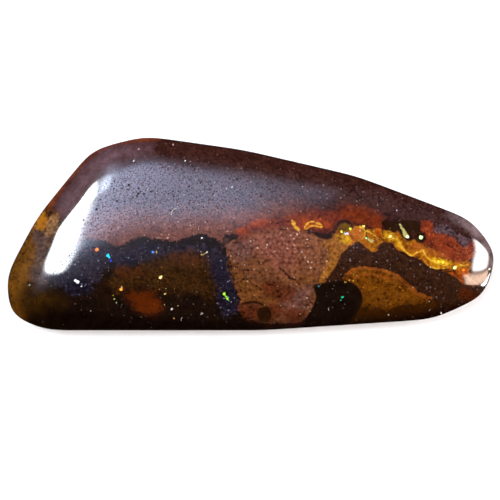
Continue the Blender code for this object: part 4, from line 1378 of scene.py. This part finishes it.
hair_plan = np.array([hair[:2] for hair in HAIRS])
hair_points = face_places(hair_plan)
east = face_places(hair_plan + (PROBE, 0.0)) - hair_points
north = face_places(hair_plan + (0.0, PROBE)) - hair_points
upright = np.cross(east, north)
upright /= np.linalg.norm(upright, axis=1)[:, None]

lint_mesh = bpy.data.meshes.new("lint")
lint_mesh.from_pydata(hair_points.tolist(), [], [])
layer = lint_mesh.attributes.new("upright", "FLOAT_VECTOR", "POINT")
layer.data.foreach_set("vector", upright.astype(np.float32).ravel())
for name, values in (
    ("length", [hair[2] * MM for hair in HAIRS]),
    ("turn", [math.radians(hair[3]) for hair in HAIRS]),
):
    layer = lint_mesh.attributes.new(name, "FLOAT", "POINT")
    layer.data.foreach_set("value", values)

# %% Build the hairs with Geometry Nodes
lint_nodes = bpy.data.node_groups.new("lint", "GeometryNodeTree")
lint_nodes.interface.new_socket("Places", in_out="INPUT", socket_type="NodeSocketGeometry")
for label, kind in (
    ("Thickness", "NodeSocketFloat"),
    ("Least bend", "NodeSocketFloat"),
    ("Most bend", "NodeSocketFloat"),
    ("Seed", "NodeSocketInt"),
    ("Material", "NodeSocketMaterial"),
):
    lint_nodes.interface.new_socket(label, in_out="INPUT", socket_type=kind)
lint_nodes.interface.new_socket("Hairs", in_out="OUTPUT", socket_type="NodeSocketGeometry")
takes = lint_nodes.nodes.new("NodeGroupInput").outputs
gives = lint_nodes.nodes.new("NodeGroupOutput").inputs


def kept_for_hair(name, kind="FLOAT"):
    """What the mesh keeps for each place of a hair."""
    return add(
        lint_nodes, "GeometryNodeInputNamedAttribute", {"Name": name}, data_type=kind
    ).outputs["Attribute"]


sockets = {
    "Resolution": 6,
    "Start": (-0.5, 0.0, 0.0),
    "Middle": (0.1, 0.6, 0.1),
    "End": (0.5, 0.0, 0.0),
}
path = add(lint_nodes, "GeometryNodeCurveQuadraticBezier", sockets).outputs["Curve"]
round_wire = add(
    lint_nodes,
    "GeometryNodeCurvePrimitiveCircle",
    {"Resolution": 5, "Radius": takes["Thickness"]},
    mode="RADIUS",
).outputs["Curve"]
sockets = {"Curve": path, "Profile Curve": round_wire, "Fill Caps": True}
hair = add(lint_nodes, "GeometryNodeCurveToMesh", sockets).outputs["Mesh"]
bend = add(
    lint_nodes,
    "FunctionNodeRandomValue",
    {2: takes["Least bend"], 3: takes["Most bend"], "Seed": takes["Seed"]},
    data_type="FLOAT",
).outputs[1]
bend = add(
    lint_nodes, "ShaderNodeMath", {0: bend, 1: kept_for_hair("length")}, operation="MULTIPLY"
).outputs[0]
sockets = {0: kept_for_hair("length"), 1: bend, 2: kept_for_hair("length")}
size = add(lint_nodes, "ShaderNodeCombineXYZ", sockets).outputs[0]
stand = add(
    lint_nodes,
    "FunctionNodeAlignRotationToVector",
    {"Vector": kept_for_hair("upright", "FLOAT_VECTOR")},
    axis="Z",
).outputs["Rotation"]
turn = add(lint_nodes, "ShaderNodeCombineXYZ", {2: kept_for_hair("turn")}).outputs[0]
turn = add(lint_nodes, "FunctionNodeEulerToRotation", {0: turn}).outputs[0]
sockets = {"Rotation": stand, "Rotate By": turn}
stand = add(lint_nodes, "FunctionNodeRotateRotation", sockets, rotation_space="LOCAL")
stand = stand.outputs["Rotation"]
sockets = {"Points": takes["Places"], "Instance": hair, "Rotation": stand, "Scale": size}
placed = add(lint_nodes, "GeometryNodeInstanceOnPoints", sockets).outputs["Instances"]
real = add(lint_nodes, "GeometryNodeRealizeInstances", {"Geometry": placed}).outputs["Geometry"]
sockets = {"Geometry": real, "Material": takes["Material"]}
finished = add(lint_nodes, "GeometryNodeSetMaterial", sockets).outputs["Geometry"]
feed(lint_nodes, gives["Hairs"], finished)

# %% Lay the lint on the stone
lint_material = bpy.data.materials.new("lint")
lint_material.use_nodes = True
lint_shader = lint_material.node_tree.nodes["Principled BSDF"]
lint_shader.inputs["Base Color"].default_value = pigment(226, 208, 200)
lint_shader.inputs["Roughness"].default_value = 0.9
lint = bpy.data.objects.new("lint", lint_mesh)
bpy.context.scene.collection.objects.link(lint)
maker = lint.modifiers.new("lint", "NODES")
maker.node_group = lint_nodes
settings = {
    "Thickness": 0.06,
    "Least bend": 0.2,
    "Most bend": 0.7,
    "Seed": 3,
    "Material": lint_material,
}
for socket in lint_nodes.interface.items_tree:
    if socket.name in settings:
        maker[socket.identifier] = settings[socket.name]
hairs_made = lint.evaluated_get(bpy.context.evaluated_depsgraph_get())
lint_made = bpy.data.meshes.new_from_object(hairs_made)
lint.modifiers.clear()
lint.data = lint_made
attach(lint, "root")
highest = max(vertex.co.z for vertex in lint_made.vertices)
print("lint faces:", len(lint_made.polygons), "highest, mm:", round(highest / MM, 2))

# %% [markdown]
# ## Table and light
#
# A polished stone shows its lamps, so their shapes matter as much as their strength.
# Each panel hangs level over the table. Two wide ones behind the stone give the cool
# sheen. A window on the left, with a fainter tail and a halo, and one on the right,
# with a warm glow and a strip, give the bright patches. The side towards the reader
# is dark, and so is that side of the stone. One bare lamp could both show in the
# polish and light the stone, but then it lights it too hard. So each panel is two
# lamps in one place: one seen only in the polish, and a softer one for the rest.

# %% The table
TABLE_HALF = 3.0  # metres
floor_mesh = bpy.data.meshes.new("table")
floor_mesh.from_pydata(
    [
        (-TABLE_HALF, -TABLE_HALF, 0.0),
        (TABLE_HALF, -TABLE_HALF, 0.0),
        (TABLE_HALF, TABLE_HALF, 0.0),
        (-TABLE_HALF, TABLE_HALF, 0.0),
    ],
    [],
    [(0, 1, 2, 3)],
)
floor = bpy.data.objects.new("table", floor_mesh)
bpy.context.scene.collection.objects.link(floor)
paper = bpy.data.materials.new("pale_paper")
paper.use_nodes = True
paper_shader = paper.node_tree.nodes["Principled BSDF"]
paper_shader.inputs["Base Color"].default_value = (0.9, 0.9, 0.9, 1.0)
paper_shader.inputs["Roughness"].default_value = 0.9
paper_shader.inputs["Specular IOR Level"].default_value = 0.0
floor_mesh.materials.append(paper)
floor.visible_glossy = False

# %% The lights
SOFT_SHARE = 0.4  # how strongly a panel lights the stone, next to its shine in the polish
SOFT_LIFT = 1.02  # the softer lamp hangs a little higher, or the two would hide each other


def panel(name, height, radiance, colour, corners):
    """Two lamps in one place: one for the polish, and a softer one for the rest."""
    hang_lamp(name, height, radiance, colour, corners).visible_diffuse = False
    soft = hang_lamp(f"{name}_soft", height * SOFT_LIFT, radiance * SOFT_SHARE, colour, corners)
    soft.visible_glossy = False


def hang_lamp(name, height, radiance, colour, corners):
    """A level lamp over the table, drawn anticlockwise by its corners. Each corner
    gives its place and the width over which the side after it fades. All of them are
    shares of the height."""
    corners = np.array(corners)
    low = corners[:, :2].min(axis=0)
    size = corners[:, :2].max(axis=0) - low
    light = bpy.data.lights.new(name, "AREA")
    light.shape = "RECTANGLE"
    light.size, light.size_y = size * height
    light.energy = radiance * math.pi * light.size * light.size_y
    light.color = colour
    light.use_nodes = True
    tree = light.node_tree
    spot = add(tree, "ShaderNodeNewGeometry").outputs["Parametric"]
    strength = 1.0
    for (x, y, fade), (next_x, next_y, _) in zip(corners, np.roll(corners, -1, axis=0)):
        inwards = np.array([y - next_y, next_x - x]) / math.hypot(next_x - x, next_y - y)
        sockets = {0: spot, 1: (*(inwards * size), 0.0)}
        dotted = add(tree, "ShaderNodeVectorMath", sockets, operation="DOT_PRODUCT")
        depth = dotted.outputs["Value"]
        start = float(inwards @ ((x, y) - low))
        strength = sums(tree, "MULTIPLY", step_up(tree, depth, start, start + fade), strength)
    feed(tree, tree.nodes["Emission"].inputs["Strength"], strength)
    lamp = bpy.data.objects.new(name, light)
    lamp.location = (*((low + size / 2.0) * height), height)
    lamp.visible_camera = False
    bpy.context.scene.collection.objects.link(lamp)
    return lamp


SKY_BLUE = (0.6, 0.68, 1.0)
# name, height, radiance, colour, corners
PANELS = (
    ("sheen", 0.9, 11.1, SKY_BLUE, (
        (-0.95, -0.55, 2.37), (0.22, -0.55, 0.82), (0.51, 2.11, 0.49), (-0.95, 1.2, 0.2),
    )),
    ("sheen_upper", 0.95, 6.1, SKY_BLUE, (
        (-0.95, -0.02, 0.38), (0.0, -0.02, 0.13), (0.87, 2.76, 1.86), (-0.95, 2.05, 0.2),
    )),
    ("left_window", 0.7, 60.0, (0.92, 0.97, 1.0), (
        (-0.46, -0.14, 0.1), (-0.45, 0.12, 0.2), (-1.0, 1.07, 0.06), (-1.32, 1.07, 0.06),
        (-1.33, 0.76, 0.06), (-1.14, 0.46, 0.07), (-0.77, 0.05, 0.08),
    )),
    ("window_tail", 0.65, 20.0, (0.75, 0.85, 1.0), (
        (-0.95, 0.7, 0.12), (-0.6, 0.64, 0.2), (-0.48, 0.95, 0.3), (-0.5, 1.2, 0.25),
        (-1.15, 1.08, 0.06),
    )),
    ("window_halo", 0.8, 2.0, (0.62, 0.8, 1.0), (
        (-0.2, -0.2, 0.3), (-0.25, 0.15, 0.35), (-0.3, 2.1, 0.3), (-1.3, 1.25, 0.2),
        (-1.42, 0.95, 0.45), (-0.8, -0.2, 0.3),
    )),
    ("right_window", 0.7, 34.0, (1.0, 1.0, 1.0), (
        (1.05, -0.45, 0.2), (2.0, -0.62, 0.25), (3.3, -0.7, 1.3), (3.3, 0.8, 0.5),
        (2.3, 1.6, 0.25), (1.6, 1.38, 0.28), (0.98, 0.15, 0.22),
    )),
    ("right_glow", 0.6, 20.0, (1.0, 0.7, 0.52), (
        (0.9, -1.0, 0.12), (2.2, -1.35, 0.3), (4.8, -1.7, 0.5), (3.8, -0.7, 0.3),
        (1.2, -0.34, 0.12), (0.75, -0.42, 0.12),
    )),
    ("right_strip", 0.5, 70.0, (1.0, 1.0, 1.0), (
        (2.05, -1.3, 0.15), (4.4, -2.5, 0.3), (8.0, -4.0, 0.5), (8.0, -1.9, 0.4),
        (3.3, -1.25, 0.2),
    )),
)
for row in PANELS:
    panel(*row)
print("lamps:", len(bpy.data.lights))

world = bpy.data.worlds.new("pale_room")
world.use_nodes = True
world.node_tree.nodes["Background"].inputs["Color"].default_value = (0.5, 0.5, 0.5, 1.0)
world.cycles_visibility.glossy = False
bpy.context.scene.world = world

# %% The camera
CAMERA_HEIGHT = 0.6
SENSOR_WIDTH = 36.0
FRAME_WIDTH = 36.0 * MM
FRAME_CENTRE = (-0.036, -1.152)
camera_data = bpy.data.cameras.new("camera")
camera_data.sensor_width = SENSOR_WIDTH
camera_data.lens = SENSOR_WIDTH * CAMERA_HEIGHT / FRAME_WIDTH
camera_data.clip_start = 0.05
camera = bpy.data.objects.new("camera", camera_data)
camera.location = (
    FRAME_CENTRE[0] * MM,
    FRAME_CENTRE[1] * MM,
    CAMERA_HEIGHT + GIRDLE_HEIGHT * MM,
)
bpy.context.scene.collection.objects.link(camera)
bpy.context.scene.camera = camera
bpy.context.scene.view_settings.view_transform = "Standard"
